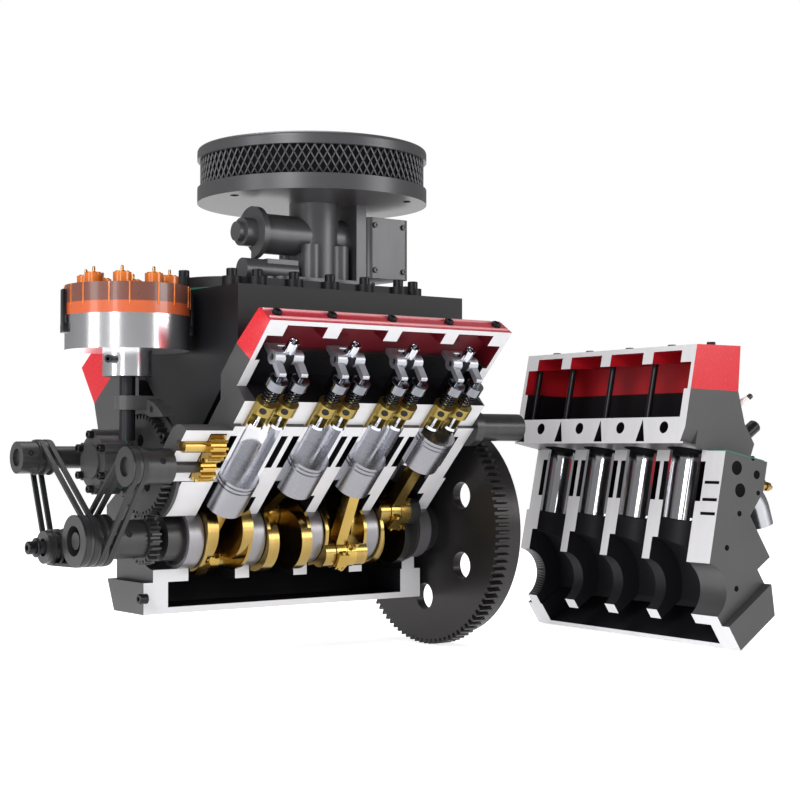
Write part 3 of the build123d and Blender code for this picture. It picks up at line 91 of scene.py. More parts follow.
def finish(
    name,
    colour,
    other,
    metallic,
    roughness,
    grain=0.5,
    relief=0.02,
    stretch=(1, 1, 1),
    coat=0.0,
    cloud=25.0,
    shine=0.5,
):
    """Finish with two close tones in soft clouds, and the grain of the real surface in relief and gloss.

    Grain, relief and cloud are sizes in mm, and stretch makes grain and cloud narrower along an axis. Tool marks are
    about 0.1 mm wide, too fine to show, so their two tones are drawn as bands 3 to 7 mm wide, cloud over stretch.
    """
    material = bpy.data.materials.new(name)
    material.use_nodes = True
    tree = material.node_tree
    shader = tree.nodes["Principled BSDF"]
    shader.inputs["Metallic"].default_value = metallic
    shader.inputs["Specular IOR Level"].default_value = shine
    shader.inputs["Coat Weight"].default_value = coat
    shader.inputs["Coat Roughness"].default_value = 0.08
    spot = node(tree, "ShaderNodeTexCoord")
    mapping = node(tree, "ShaderNodeMapping", {"Scale": stretch}, {"Vector": spot.outputs["Object"]})
    point = {"Vector": mapping.outputs[0]}
    clouds = node(tree, "ShaderNodeTexNoise", {"Scale": 1 / (cloud * MM), "Detail": 3.0}, point)
    fine = node(tree, "ShaderNodeTexNoise", {"Scale": 1 / (grain * MM), "Detail": 4.0}, point)
    both = {"data_type": "RGBA", 6: linear(colour), 7: linear(other)}
    tones = node(tree, "ShaderNodeMix", both, {0: clouds.outputs[0]})
    spread = {"To Min": max(roughness - 0.07, 0.03), "To Max": roughness + 0.07}
    gloss = node(tree, "ShaderNodeMapRange", spread, {"Value": fine.outputs[0]})
    depth = {"Strength": 0.4, "Distance": relief * MM}
    bump = node(tree, "ShaderNodeBump", depth, {"Height": fine.outputs[0]})
    tree.links.new(tones.outputs[2], shader.inputs["Base Color"])
    tree.links.new(gloss.outputs[0], shader.inputs["Roughness"])
    tree.links.new(bump.outputs[0], shader.inputs["Normal"])
    return material


def on_cut(spot, normal, cuts):
    """True where a face lies on one of the cut planes, each a way out of the metal and a distance in mm."""
    return any(normal.dot(way) > 0.98 and abs(spot.dot(way) - distance) < 0.05 for way, distance in cuts)


def dress(name, *finishes, choose=None, home=None):
    """Give a CAD piece its finishes; choose picks one for a face by its place from the crank and its normal."""
    mesh = nodes[name].data
    mesh.materials.clear()
    for material in finishes:
        mesh.materials.append(material)
    if choose:
        back = home.inverted() if home else Matrix.Identity(4)
        for face in mesh.polygons:
            spot = (back @ face.center) / MM - Vector((0, CRANK_Y, CRANK_Z))
            face.material_index = choose(spot, back.to_3x3() @ face.normal)


def on_bank(spot):
    """Distance of a spot along its bank's cylinders, and its distance towards the valley."""
    side = 1 if spot.y > 0 else -1
    return (side * spot.y + spot.z) * LEAN, (spot.z - side * spot.y) * LEAN


def in_tray(spot):
    """True inside the pan's tray."""
    in_height = TRAY_HEIGHTS[0] < spot.z < TRAY_HEIGHTS[1]
    return in_height and TRAY_ENDS[0] < spot.x < TRAY_ENDS[1] and abs(spot.y) < TRAY_HALF_WIDTH


def casting_finish(cuts):
    """Chooser for a casting: pale on the cuts, black painted shade in the chambers and jackets, enamel outside."""

    def choose(spot, normal):
        if on_cut(spot, normal, cuts):
            return 1
        along, inboard = on_bank(spot)
        in_chamber = spot.y ** 2 + spot.z ** 2 < CHAMBER_RADIUS ** 2
        in_jacket = abs(inboard) < JACKET_HALF_WIDTH and CHAMBER_RADIUS < along < DECK - 0.05
        return 2 if in_tray(spot) or abs(spot.x) < BANK_END - 1 and (in_chamber or in_jacket) else 0

    return choose


def pan_finish(spot, normal):
    """Chooser for the pan: pale on the cut, black painted shade inside the tray."""
    if on_cut(spot, normal, block_cuts):
        return 1
    return 2 if in_tray(spot) else 0


# Enamel over sand-cast aluminium: the pebble of the sand breaks its satin sheen.
grey_enamel = finish(
    "grey_sand_cast_enamel", "#3B3A3B", "#444343", metallic=0.12, roughness=0.4, grain=0.45, relief=0.03
)
# Black painted shade in the chambers: nearly matt, so that the chambers read as deep hollows.
chamber_painted_shade = finish(
    "black_chamber_painted_shade", "#0D0C10", "#141317", metallic=0.0, roughness=0.55, grain=0.6, relief=0.03, shine=0.2
)
# Milled aluminium: pale and even, with the faint run of the cutter.
cut_metal = finish(
    "milled_pale_cut",
    "#CFCED0",
    "#C3C2C4",
    metallic=0.05,
    roughness=0.45,
    grain=0.3,
    relief=0.01,
    stretch=(1, 6, 1),
)
block_cuts = ((OUT_LOW, 0.0), (OUT_SIDE, 0.0))
removed_block_cuts = tuple((-way, -distance) for way, distance in block_cuts)
casting_coats = (grey_enamel, cut_metal, chamber_painted_shade)
dress("crankcase", *casting_coats, choose=casting_finish(block_cuts))
dress("oil_pan", *casting_coats, choose=pan_finish)
dress("removed_block", *casting_coats, choose=casting_finish(removed_block_cuts), home=APART)


# Cylinder heads: castings like the block's, open at two levels to show the valve cages and the rocker room.
# The covers over them are cast shells with a bright red gloss enamel, bare where they are sawn, and a darker red
# inside that is painted shade on the engine's covers.
HEAD_WALL_X = 65.05
HEAD_ROOM = (-11.1, 21.05)
CAGE_CUT = -2.0
ROOM_CUT = -12.0
REMOVED_CUT = 18.0
# Points on the outside of a cover's roof, valley side and outer side, each as (along, inboard), and the ways out
# of them. The outer side's way is the valley side's, mirrored.
ROOF_IN = (125.56, 23.0)
ROOF_WAY = (0.9796, 0.2014)
SIDE_IN = (101.56, 26.0)
SIDE_OUT = (108.96, -16.0)
SIDE_WAY = (0.124, 0.992)


def bank_way(side, along, inboard=0.0, x=0.0):
    """Direction with given shares along the crank, along a bank's cylinders and towards the valley."""
    return Vector((x, side * (along - inboard) * LEAN, (along + inboard) * LEAN)).normalized()


def head_finish(cuts):
    """Chooser for a head: pale on the cuts, black painted shade in the rocker room and the ports, enamel outside."""

    def choose(spot, normal):
        if on_cut(spot, normal, cuts):
            return 1
        along, inboard = on_bank(spot)
        in_room = HEAD_ROOM[0] < inboard < HEAD_ROOM[1]
        return 2 if abs(spot.x) < HEAD_WALL_X and along > DECK + 0.1 and in_room else 0

    return choose


def cover_finish(cuts):
    """Chooser for a rocker cover: bare on the cuts, gloss outside, a darker red inside that is painted shade on the
    engine's covers.
    """

    def choose(spot, normal):
        if on_cut(spot, normal, cuts):
            return 1
        along, inboard = on_bank(spot)
        over_roof = (along - ROOF_IN[0]) * ROOF_WAY[0] + (inboard - ROOF_IN[1]) * ROOF_WAY[1]
        past_inner = (along - SIDE_IN[0]) * SIDE_WAY[0] + (inboard - SIDE_IN[1]) * SIDE_WAY[1]
        past_outer = (along - SIDE_OUT[0]) * SIDE_WAY[0] - (inboard - SIDE_OUT[1]) * SIDE_WAY[1]
        outside = max(over_roof, past_inner, past_outer, abs(spot.x) - BANK_END) > -0.4
        return 0 if outside else 2

    return choose


def near_roof_finish(spot, normal):
    """Chooser for the covers, with the near roof in a deeper red of painted shade between its beads."""
    choice = engine_cover_finish(spot, normal)
    return 3 if choice == 0 and spot.y < 0 and normal.dot(near_roof_up) > 0.9 else choice


head_cuts = ((OUT_LOW, CAGE_CUT), (OUT_LOW, ROOM_CUT))
removed_top_cuts = ((-OUT_LOW, REMOVED_CUT),)
engine_cover_finish = cover_finish(((OUT_LOW, ROOM_CUT),))
near_roof_up = bank_way(-1, *ROOF_WAY)
# Red gloss enamel under a clear coat: smooth, with soft wide highlights.
red_enamel = finish(
    "red_gloss_enamel", "#BE1220", "#C91C29", metallic=0.0, roughness=0.26, grain=0.8, relief=0.003, coat=0.3
)
# Painted shade inside the engine's covers: the inner red coat, drawn as a dull maroon for the shade of the room.
maroon_painted_shade = finish(
    "maroon_inner_painted_shade", "#5C0C18", "#6B1220", metallic=0.0, roughness=0.4, grain=1.2, relief=0.03
)
# The removed cover's inside takes the light, so that the same coat reads as a clear red.
red_inner = finish(
    "red_inner_enamel", "#A8101C", "#B81824", metallic=0.0, roughness=0.38, grain=1.2, relief=0.03
)
# Painted shade on the near roof: the gloss enamel, deeper and a little greyer.
roof_painted_shade = finish(
    "red_roof_painted_shade", "#A01F2D", "#AC2835", metallic=0.0, roughness=0.3, grain=0.8, relief=0.003, coat=0.3
)
dress("cylinder_heads", *casting_coats, choose=head_finish(head_cuts))
dress("removed_head", *casting_coats, choose=head_finish(removed_top_cuts), home=APART)
dress("rocker_covers", red_enamel, cut_metal, maroon_painted_shade, roof_painted_shade, choose=near_roof_finish)
dress("removed_cover", red_enamel, cut_metal, red_inner, choose=cover_finish(removed_top_cuts), home=APART)


# Cap screws of covers, pumps and manifold: black oxide socket heads, turned with a broken edge and a drilled socket.
# One node tree makes a head and sets a copy of it on every point, turned the way that the point's screw faces.
COVER_HEAD_RADIUS, COVER_HEAD_HEIGHT = 2.3, 1.6
COVER_SCREW_PLACES = (-63.6, -34.0, 0.0, 34.0, 63.6)
NEAR_SCREW_LINE, FAR_SCREW_LINE, REMOVED_SCREW_LINE = 18.0, 5.0, 2.0
# Black oxide: a dark, oily half shine.
black_steel = finish(
    "black_oxide_steel", "#1B1B1E", "#29292D", metallic=0.7, roughness=0.34, grain=0.4, relief=0.01
)


def place(x, y, z):
    """Scene point of a place measured from the crank axis, in millimetres."""
    return Vector((x, y + CRANK_Y, z + CRANK_Z)) * MM


def bank(side, x, along, inboard=0.0):
    """Scene point of a place on a bank: distance along its cylinders and distance towards the valley."""
    return place(x, side * (along - inboard) * LEAN, (along + inboard) * LEAN)


def apart(spot, way):
    """Spot and way on the removed half, turned and set beside the engine."""
    return APART @ spot, APART.to_3x3() @ way


def keep(name, mesh, body):
    """Put a finished mesh in the scene, as a piece that rides on a body."""
    piece = bpy.data.objects.new(name, mesh)
    bpy.context.scene.collection.objects.link(piece)
    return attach(piece, body)


def tree_with(name, inputs):
    """Geometry tree with a mesh going in and out and the named inputs, each a socket kind and its value."""
    tree = bpy.data.node_groups.new(name, "GeometryNodeTree")
    tree.interface.new_socket("Geometry", in_out="INPUT", socket_type="NodeSocketGeometry")
    tree.interface.new_socket("Geometry", in_out="OUTPUT", socket_type="NodeSocketGeometry")
    for label, (kind, value) in inputs.items():
        item = tree.interface.new_socket(label, in_out="INPUT", socket_type=kind)
        if value is not None:
            item.default_value = value
    return tree, node(tree, "NodeGroupInput").outputs


def close_tree(tree, geometry, material):
    """End a geometry tree: real faces, their finish, and the way out."""
    real = node(tree, "GeometryNodeRealizeInstances", links={0: geometry})
    painted = node(tree, "GeometryNodeSetMaterial", links={"Geometry": real.outputs[0], "Material": material})
    node(tree, "NodeGroupOutput", links={0: painted.outputs[0]})


def grown(name, tree, values, body, points=((0, 0, 0),), ways=None):
    """Plain mesh piece that a geometry tree makes from a set of points."""
    source = bpy.data.meshes.new(name)
    source.from_pydata([tuple(point) for point in points], [], [])
    if ways:
        facing = source.attributes.new("way", "FLOAT_VECTOR", "POINT")
        for index, way in enumerate(ways):
            facing.data[index].vector = way
    maker = bpy.data.objects.new(name + "_maker", source)
    bpy.context.scene.collection.objects.link(maker)
    modifier = maker.modifiers.new("grow", "NODES")
    modifier.node_group = tree
    for item in tree.interface.items_tree:
        if item.in_out == "INPUT" and item.name in values:
            modifier[item.identifier] = values[item.name]
    mesh = bpy.data.meshes.new_from_object(maker.evaluated_get(bpy.context.evaluated_depsgraph_get()))
    bpy.data.objects.remove(maker)
    mesh.name = name
    mesh.shade_smooth()
    mesh.set_sharp_from_angle(angle=radians(30))
    return keep(name, mesh, body)


head_sizes = {
    "Head Radius": ("NodeSocketFloat", 2.6 * MM),
    "Head Height": ("NodeSocketFloat", 4.5 * MM),
    "Socket Share": ("NodeSocketFloat", 0.55),
    "Socket Depth": ("NodeSocketFloat", -1.8 * MM),
    "Broken Edge": ("NodeSocketFloat", 0.35 * MM),
    "Finish": ("NodeSocketMaterial", None),
}
head_tree, size = tree_with("socket_head", head_sizes)
barrel = node(
    head_tree,
    "GeometryNodeMeshCylinder",
    {"Vertices": 24},
    {"Radius": size["Head Radius"], "Depth": size["Head Height"]},
)
edge = node(
    head_tree,
    "GeometryNodeExtrudeMesh",
    {"mode": "FACES"},
    {"Mesh": barrel.outputs["Mesh"], "Selection": barrel.outputs["Top"], "Offset Scale": size["Broken Edge"]},
)
rim = node(
    head_tree,
    "GeometryNodeScaleElements",
    {"Scale": 0.87},
    {"Geometry": edge.outputs["Mesh"], "Selection": edge.outputs["Top"]},
)
face = node(
    head_tree,
    "GeometryNodeExtrudeMesh",
    {"mode": "FACES", "Offset Scale": 0.0},
    {"Mesh": rim.outputs[0], "Selection": edge.outputs["Top"]},
)
mouth = node(
    head_tree,
    "GeometryNodeScaleElements",
    {},
    {"Geometry": face.outputs["Mesh"], "Selection": face.outputs["Top"], "Scale": size["Socket Share"]},
)
socket = node(
    head_tree,
    "GeometryNodeExtrudeMesh",
    {"mode": "FACES"},
    {"Mesh": mouth.outputs[0], "Selection": face.outputs["Top"], "Offset Scale": size["Socket Depth"]},
)
half_up = node(head_tree, "ShaderNodeMath", {"operation": "MULTIPLY", 1: 0.5}, {0: size["Head Height"]})
lift = node(head_tree, "ShaderNodeCombineXYZ", {}, {"Z": half_up.outputs[0]})
raised = node(
    head_tree,
    "GeometryNodeTransform",
    {},
    {"Geometry": socket.outputs["Mesh"], "Translation": lift.outputs[0]},
)
facing = node(head_tree, "GeometryNodeInputNamedAttribute", {"data_type": "FLOAT_VECTOR", "Name": "way"})
turn = node(head_tree, "FunctionNodeAlignRotationToVector", {"axis": "Z"}, {"Vector": facing.outputs[0]})
copies = node(
    head_tree,
    "GeometryNodeInstanceOnPoints",
    {},
    {"Points": size["Geometry"], "Instance": raised.outputs[0], "Rotation": turn.outputs[0]},
)
close_tree(head_tree, copies.outputs[0], size["Finish"])


def screws(name, radius, height, spots, body="engine", material=black_steel):
    """Socket head screws at the spots, each a seat point and the way that its head faces."""
    values = {
        "Head Radius": radius * MM,
        "Head Height": height * MM,
        "Socket Depth": -0.45 * height * MM,
        "Broken Edge": 0.14 * radius * MM,
        "Finish": material,
    }
    ways = [tuple(way) for spot, way in spots]
    return grown(name, head_tree, values, body, [spot for spot, way in spots], ways)


def on_roof(side, x, inboard):
    """Seat and way of a screw on a rocker cover's roof."""
    along = ROOF_IN[0] + (ROOF_IN[1] - inboard) * ROOF_WAY[1] / ROOF_WAY[0]
    return bank(side, x, along, inboard), bank_way(side, *ROOF_WAY)


near_seats = [on_roof(-1, x, NEAR_SCREW_LINE) for x in COVER_SCREW_PLACES]
far_seats = [on_roof(1, x, FAR_SCREW_LINE) for x in COVER_SCREW_PLACES]
removed_seats = [apart(*on_roof(-1, x, REMOVED_SCREW_LINE)) for x in COVER_SCREW_PLACES]
for group, seats in (("near", near_seats), ("far", far_seats), ("removed", removed_seats)):
    screws(f"{group}_cover_screws", COVER_HEAD_RADIUS, COVER_HEAD_HEIGHT, seats)


# Raised beads: two rounded beads run along the roof of each cover on the engine, cast with it and enamelled.
# Their pale colour is a painted highlight, the line of light along their crowns. Each is a bevelled block, given by
# its middle, its two ways and its half sizes.
BEAD_HALF = (69.0, 0.7, 0.6)
BEAD_LINES = ((-1, 14.6), (-1, 21.4), (1, -11.0), (1, 21.0))
ALONG_X = Vector((1, 0, 0))


def kept_mesh(name, mesh, material, body):
    """Turn a bmesh into a smooth piece with its sharp edges kept."""
    data = bpy.data.meshes.new(name)
    mesh.to_mesh(data)
    mesh.free()
    data.materials.append(material)
    data.shade_smooth()
    data.set_sharp_from_angle(angle=radians(35))
    return keep(name, data, body)


def blocks(name, material, parts, bevel=0.2):
    """Bevelled blocks in one piece, each with a middle, a way of length, a way up and three half sizes in mm."""
    mesh = bmesh.new()
    ring = [(-1, -1), (-1, 1), (1, 1), (1, -1)]
    for middle, run, up, half in parts:
        across = up.cross(run)
        corners = {}
        for i in (-1, 1):
            for j in (-1, 1):
                for k in (-1, 1):
                    corner = middle + (run * i * half[0] + across * j * half[1] + up * k * half[2]) * MM
                    corners[i, j, k] = mesh.verts.new(corner)
        for axis in range(3):
            for end in (-1, 1):
                mesh.faces.new([corners[tuple(pair[:axis]) + (end,) + tuple(pair[axis:])] for pair in ring])
    bmesh.ops.recalc_face_normals(mesh, faces=mesh.faces)
    bmesh.ops.bevel(mesh, geom=mesh.edges[:], offset=bevel * MM, segments=2, profile=0.6, affect="EDGES")
    return kept_mesh(name, mesh, material, "engine")


# Painted highlight: a pale red for the beads, for the line of light that their crowns catch.
bead_painted_highlight = finish(
    "pale_bead_painted_highlight", "#DC8F94", "#E6A6AA", metallic=0.2, roughness=0.25, grain=0.8, relief=0.003, coat=0.3
)
bead_seats = [on_roof(side, 0, inboard) for side, inboard in BEAD_LINES]
blocks("cover_beads", bead_painted_highlight, [(seat, ALONG_X, up, BEAD_HALF) for seat, up in bead_seats], bevel=0.4)


# Liners, bearings and pistons: honed and polished steel tubes, ground rings, and turned pistons of a light alloy.
# The liners are close to a mirror, the bearings are a satin grey, and the pistons lie between them.
# Polished steel: a mirror with wide, soft clouds of tone.
mirror_steel = finish(
    "polished_liner_steel", "#DEDEE2", "#CBCCD1", metallic=1.0, roughness=0.1, grain=0.4, relief=0.002, cloud=60.0
)
# Ground bearing steel: satin, with fine rings round the crank's axis.
bearing_steel = finish(
    "satin_bearing_steel",
    "#918F92",
    "#7F7D80",
    metallic=0.75,
    roughness=0.34,
    grain=0.3,
    relief=0.01,
    stretch=(8, 1, 1),
)
# Turned piston alloy: a soft metal shine, broken by the tool.
piston_alloy = finish(
    "turned_piston_alloy", "#9E9EA3", "#8E8E94", metallic=1.0, roughness=0.27, grain=0.3, relief=0.01
)
dress("cylinder_liners", mirror_steel)
dress("main_bearings", bearing_steel)
for side in ("near", "far"):
    for index in range(1, 5):
        dress(f"{side}_piston_{index}", piston_alloy)


# Crankshaft and connecting rods: yellow brass, turned and then polished, between ends of dark hardened steel.
# Fine turning rings run round the crank's axis and break the highlights into streaks.
BRASS_FROM, BRASS_TO = -67.5, 58.2
# Turned brass: muted yellow, with streaked highlights.
brass = finish(
    "turned_yellow_brass",
    "#AD935A",
    "#8A733C",
    metallic=1.0,
    roughness=0.22,
    grain=0.35,
    relief=0.012,
    stretch=(9, 1, 1),
)
# Polished brass of the rods: brighter, without rings.
rod_brass = finish(
    "polished_rod_brass", "#C2A45C", "#A08545", metallic=1.0, roughness=0.24, grain=0.6, relief=0.012
)
# Hardened steel: dark, with dull rings.
dark_steel = finish(
    "dark_turned_steel",
    "#3A3939",
    "#484747",
    metallic=0.7,
    roughness=0.32,
    grain=0.35,
    relief=0.012,
    stretch=(6, 1, 1),
)
dress("crankshaft", brass, dark_steel, choose=lambda spot, normal: 0 if BRASS_FROM < spot.x < BRASS_TO else 1)
for side in ("near", "far"):
    for index in range(1, 5):
        dress(f"{side}_rod_{index}", rod_brass)


# Valve gear: brass cages, ground valves under chromed cups, black springs, bright rockers on black stands.
# The springs are oil-black music wire; the rockers are cast and bead blasted, which gives a soft pale grey.
CUP_FLOOR = 97.5
NEAR_CYLINDERS = (-54.2, -20.2, 13.8, 47.8)
STUD_ALONG, STUD_INBOARD = 111.7, 9.5
WINDOW_ALONG, WINDOW_STEP, CAGE_RADIUS = 87.4, 5.8, 5.0


def turned(name, material, profile, spots, body="engine", segments=32):
    """Turned piece: a closed profile of radius and height pairs in mm, spun at each spot round its way."""
    mesh = bmesh.new()
    for base, way in spots:
        stand = way.to_track_quat("Z", "Y")
        rings = []
        for radius, height in profile:
            turns = [2 * pi * k / segments for k in range(segments)] if radius else [0.0]
            points = [Vector((radius * cos(a), radius * sin(a), height)) for a in turns]
            rings.append([mesh.verts.new(base + stand @ point * MM) for point in points])
        for low, high in zip(rings, rings[1:]):
            for k in range(segments):
                after = k + 1
                corners = (low[k % len(low)], low[after % len(low)], high[after % len(high)], high[k % len(high)])
                corners = list(dict.fromkeys(corners))
                if len(corners) > 2:
                    mesh.faces.new(corners)
    bmesh.ops.recalc_face_normals(mesh, faces=mesh.faces)
    return kept_mesh(name, mesh, material, body)


# Cut brass of the cages: darker and duller than the crank's.
cage_brass = finish(
    "cut_cage_brass", "#A8924E", "#8C783A", metallic=0.85, roughness=0.32, grain=0.4, relief=0.01
)
# Chrome of valves, studs and plug: a hard, bright mirror.
chrome = finish("bright_chrome", "#D0D2D8", "#BFC1C8", metallic=1.0, roughness=0.1, grain=0.8, relief=0.002)
# Chrome of the cups: a darker mirror, in the shade of the room.
cup_chrome = finish("dark_cup_chrome", "#8B8D93", "#75777D", metallic=1.0, roughness=0.14, grain=0.8, relief=0.002)
# Oiled wire: black with a wet edge of light.
spring_black = finish(
    "oiled_black_wire", "#222226", "#303034", metallic=0.9, roughness=0.26, grain=0.3, relief=0.006
)
# Bead blasting: an even, pale and soft grey.
rocker_grey = finish(
    "bead_blasted_rocker", "#B4B4BA", "#9C9DA4", metallic=0.8, roughness=0.36, grain=0.3, relief=0.015
)
dress("valve_cages", cage_brass)
dress("valve_springs", spring_black)
dress("rocker_stands", black_steel)
for index in range(1, 5):
    dress(
        f"valve_pair_{index}", chrome, cup_chrome, choose=lambda spot, normal: int(on_bank(spot)[0] > CUP_FLOOR)
    )
    dress(f"rocker_{index}", rocker_grey)
bank_up = bank_way(-1, 1)
hollow_stud = ((0, 3.2), (1.5, 3.2), (1.5, 6.2), (1.8, 6.5), (2.4, 6.5), (2.7, 6.2), (2.7, 0), (0, 0))
stud_spots = [(bank(-1, x, STUD_ALONG, STUD_INBOARD), bank_up) for x in NEAR_CYLINDERS]
turned("rocker_studs", chrome, hollow_stud, stud_spots)
# The cage windows are black discs of painted shade, set on the cages' sides.
port_window = ((0, 0.12), (1.5, 0.12), (1.75, 0.0), (1.75, -0.5), (0, -0.5))
window_way = bank_way(-1, 0.0, -0.8, -0.6)
window_spots = []
for x in NEAR_CYLINDERS:
    for hand in (-1, 1):
        cage_middle = bank(-1, x + hand * WINDOW_STEP, WINDOW_ALONG)
        window_spots.append((cage_middle + window_way * CAGE_RADIUS * MM, window_way))
turned("cage_windows", black_steel, port_window, window_spots)


# Timing drive: oxide-black gears and pulleys in front of a grey plate, with belts of black rubber.
# The pulleys are turned, which leaves rings. Three hubs have a set screw, and the idler a washer and a screw.
# Hobbed and turned gear steel: dark, half dull, ringed like the crank's ends.
gear_black = finish(
    "hobbed_dark_gear",
    "#3A3939",
    "#464545",
    metallic=0.65,
    roughness=0.34,
    grain=0.35,
    relief=0.012,
    stretch=(6, 1, 1),
)
# Moulded belt rubber: black and dull, with a faint nap.
rubber = finish("belt_rubber", "#121214", "#1B1B1E", metallic=0.0, roughness=0.5, grain=0.25, relief=0.02)
for name in ("camshaft", "nose_drive", "generator_pulley", "idler_pulley", "accessory_carriers"):
    dress(name, gear_black)
dress("timing_plate", grey_enamel)
dress("drive_belts", rubber)
OPEN_SIDE = Vector((0, -0.95, 0.3)).normalized()
FORWARD = Vector((-1, 0, 0))
set_screw = ((0, 0.12), (0.7, 0.12), (0.75, 0.35), (1.35, 0.35), (1.5, 0.15), (1.5, -1.2), (0, -1.2))
# Each hub's body, a place on its axis and its radius.
hubs = {
    "crank": ("crank", (-100.0, 0, 0), 9.0),
    "pump": ("oil_pump_drive", (-101.0, -34.3, 34.3), 8.2),
    "generator": ("generator_pulley", (-129.0, 43, 38), 7.5),
}
for hub, (body, axis, radius) in hubs.items():
    seat = place(*axis) + OPEN_SIDE * radius * MM
    turned(f"{hub}_set_screw", black_steel, set_screw, [(seat, OPEN_SIDE)], body)
IDLER_Y, IDLER_Z = 26, -4
IDLER_WASHER_X, IDLER_SCREW_X = -130.0, -131.2
washer = ((0, 0), (4.6, 0), (4.6, 0.9), (4.2, 1.2), (0, 1.2))
turned("idler_washer", black_steel, washer, [(place(IDLER_WASHER_X, IDLER_Y, IDLER_Z), FORWARD)])
idler_seat = place(IDLER_SCREW_X, IDLER_Y, IDLER_Z)
screws("idler_screw", radius=3.1, height=3.4, spots=[(idler_seat, FORWARD)])


# Water pump: a grey casting with six socket screws in its ears, on a thin green gasket.
# The gasket is pressed paper with a sealing coat, cut a little larger than the faces that it seals.
PUMP_Y, PUMP_Z = 21.5, 36
PUMP_EAR_RING = 13
PUMP_EARS_X, PUMP_GASKET_X = -104.0, -91.2
ARCH_RADIUS, ARCH_X, ARCH_Z = 28, -90.0, 34.5
PAN_SCREW = (-88.0, -3.0, -28.0)
# Coated paper: dull green.
gasket_green = finish(
    "coated_paper_gasket", "#0F5A45", "#14684F", metallic=0.0, roughness=0.5, grain=0.6, relief=0.02
)
dress("water_pump", grey_enamel)
ear_turns = [radians(30 + 60 * index) for index in range(6)]
pump_ears = [(PUMP_Y + PUMP_EAR_RING * cos(turn), PUMP_Z + PUMP_EAR_RING * sin(turn)) for turn in ear_turns]
ear_seats = [(place(PUMP_EARS_X, y, z), FORWARD) for y, z in pump_ears]
screws("water_pump_screws", radius=1.9, height=2.6, spots=ear_seats)
gasket_ring = ((12.2, 0), (13.5, 0), (13.5, 0.8), (12.2, 0.8), (12.2, 0))
pump_back = [(place(PUMP_GASKET_X, PUMP_Y, PUMP_Z), ALONG_X)]
turned("water_pump_gasket", gasket_green, gasket_ring, pump_back, segments=64)
arch_turns = (radians(62), radians(-62))
arch_ends = [place(ARCH_X, ARCH_RADIUS * sin(a), ARCH_Z + ARCH_RADIUS * cos(a)) for a in arch_turns]
screws("timing_screws", radius=2.2, height=2.2, spots=[(spot, FORWARD) for spot in arch_ends])
screws("pan_front_screw", radius=2.4, height=4.0, spots=[(place(*PAN_SCREW), FORWARD)])


# Oil pump: brass gears on a dark shaft in a pale housing that is sawn open like the bank.
# Its pulley and the front of its shaft are dark turned steel like the others.
PUMP_SHAFT_FRONT = -81.5
pump_cut = ((OUT_LOW, 0.0),)
dress("oil_pump_housing", grey_enamel, cut_metal, choose=lambda spot, normal: int(on_cut(spot, normal, pump_cut)))
dress("oil_pump_drive", rod_brass, dark_steel, choose=lambda spot, normal: int(spot.x < PUMP_SHAFT_FRONT))
dress("oil_pump_gear", rod_brass)


# Distributor: polished aluminium bowl on a black tube, under a moulded cap of orange and smoky brown resin.
# The cap's lower band is clear orange, its ribbed top is darker, and each tower holds a copper pin for a plug lead.
NECK_FLOOR = 76.05
CAP_BAND = 109.5
TOWER_FLOOR = 118.1
TOWER_RING, TOWER_TOP = 19.5, 123.0
CAP_RADIUS, CAP_AXIS_X = 29.0, -97.0
RIB_TURN, RIB_HEIGHT, RIB_HALF = 0.16, 113.0, (5.0, 0.35, 0.35)
NECK_RADIUS, NECK_SCREW_HEIGHT = 11.3, 83.5
# Polished alloy: a bright mirror with level rings of tone.
polished_alloy = finish(
    "polished_bowl_alloy",
    "#F0F0F3",
    "#E4E4E8",
    metallic=1.0,
    roughness=0.2,
    grain=0.35,
    relief=0.003,
    stretch=(1, 1, 9),
    cloud=60.0,
)
# Moulded cap resin: glossy under a hard skin, smooth but for a slow ripple.
cap_resin = finish(
    "two_tone_cap_resin", "#B5502A", "#C05C32", metallic=0.0, roughness=0.3, grain=3.0, relief=0.01, coat=0.4
)
# Tower resin: the same, a lighter orange.
tower_resin = finish(
    "tower_resin", "#C8641E", "#D87628", metallic=0.1, roughness=0.26, grain=3.0, relief=0.01, coat=0.4
)
# Copper: warm and bright, lightly drawn.
copper = finish("copper_pin", "#C98A4A", "#B0703A", metallic=1.0, roughness=0.26, grain=0.4, relief=0.01)
dress("distributor_body", polished_alloy, black_steel, choose=lambda spot, normal: int(spot.z < NECK_FLOOR))

resin_tree = cap_resin.node_tree
resin_colour = resin_tree.nodes["Principled BSDF"].inputs["Base Color"]
band_tones = resin_colour.links[0].from_socket
resin_spot = node(resin_tree, "ShaderNodeTexCoord")
resin_height = node(resin_tree, "ShaderNodeSeparateXYZ", {}, {0: resin_spot.outputs["Object"]})
band_edge = (CRANK_Z + CAP_BAND) * MM
blur = {"From Min": band_edge - 0.15 * MM, "From Max": band_edge + 0.15 * MM}
in_top = node(resin_tree, "ShaderNodeMapRange", blur, {"Value": resin_height.outputs["Z"]})
smoky = {"data_type": "RGBA", 7: linear("#6A4036")}
two_tones = node(resin_tree, "ShaderNodeMix", smoky, {0: in_top.outputs[0], 6: band_tones})
resin_tree.links.new(two_tones.outputs[2], resin_colour)
dress("distributor_cap", cap_resin, tower_resin, choose=lambda spot, normal: int(spot.z > TOWER_FLOOR))
dress("distributor_rotor", black_steel)


def round_cap(radius, turn, height):
    """Point round the distributor's axis."""
    return place(CAP_AXIS_X, 0, 0) + Vector((radius * cos(turn), radius * sin(turn), height)) * MM


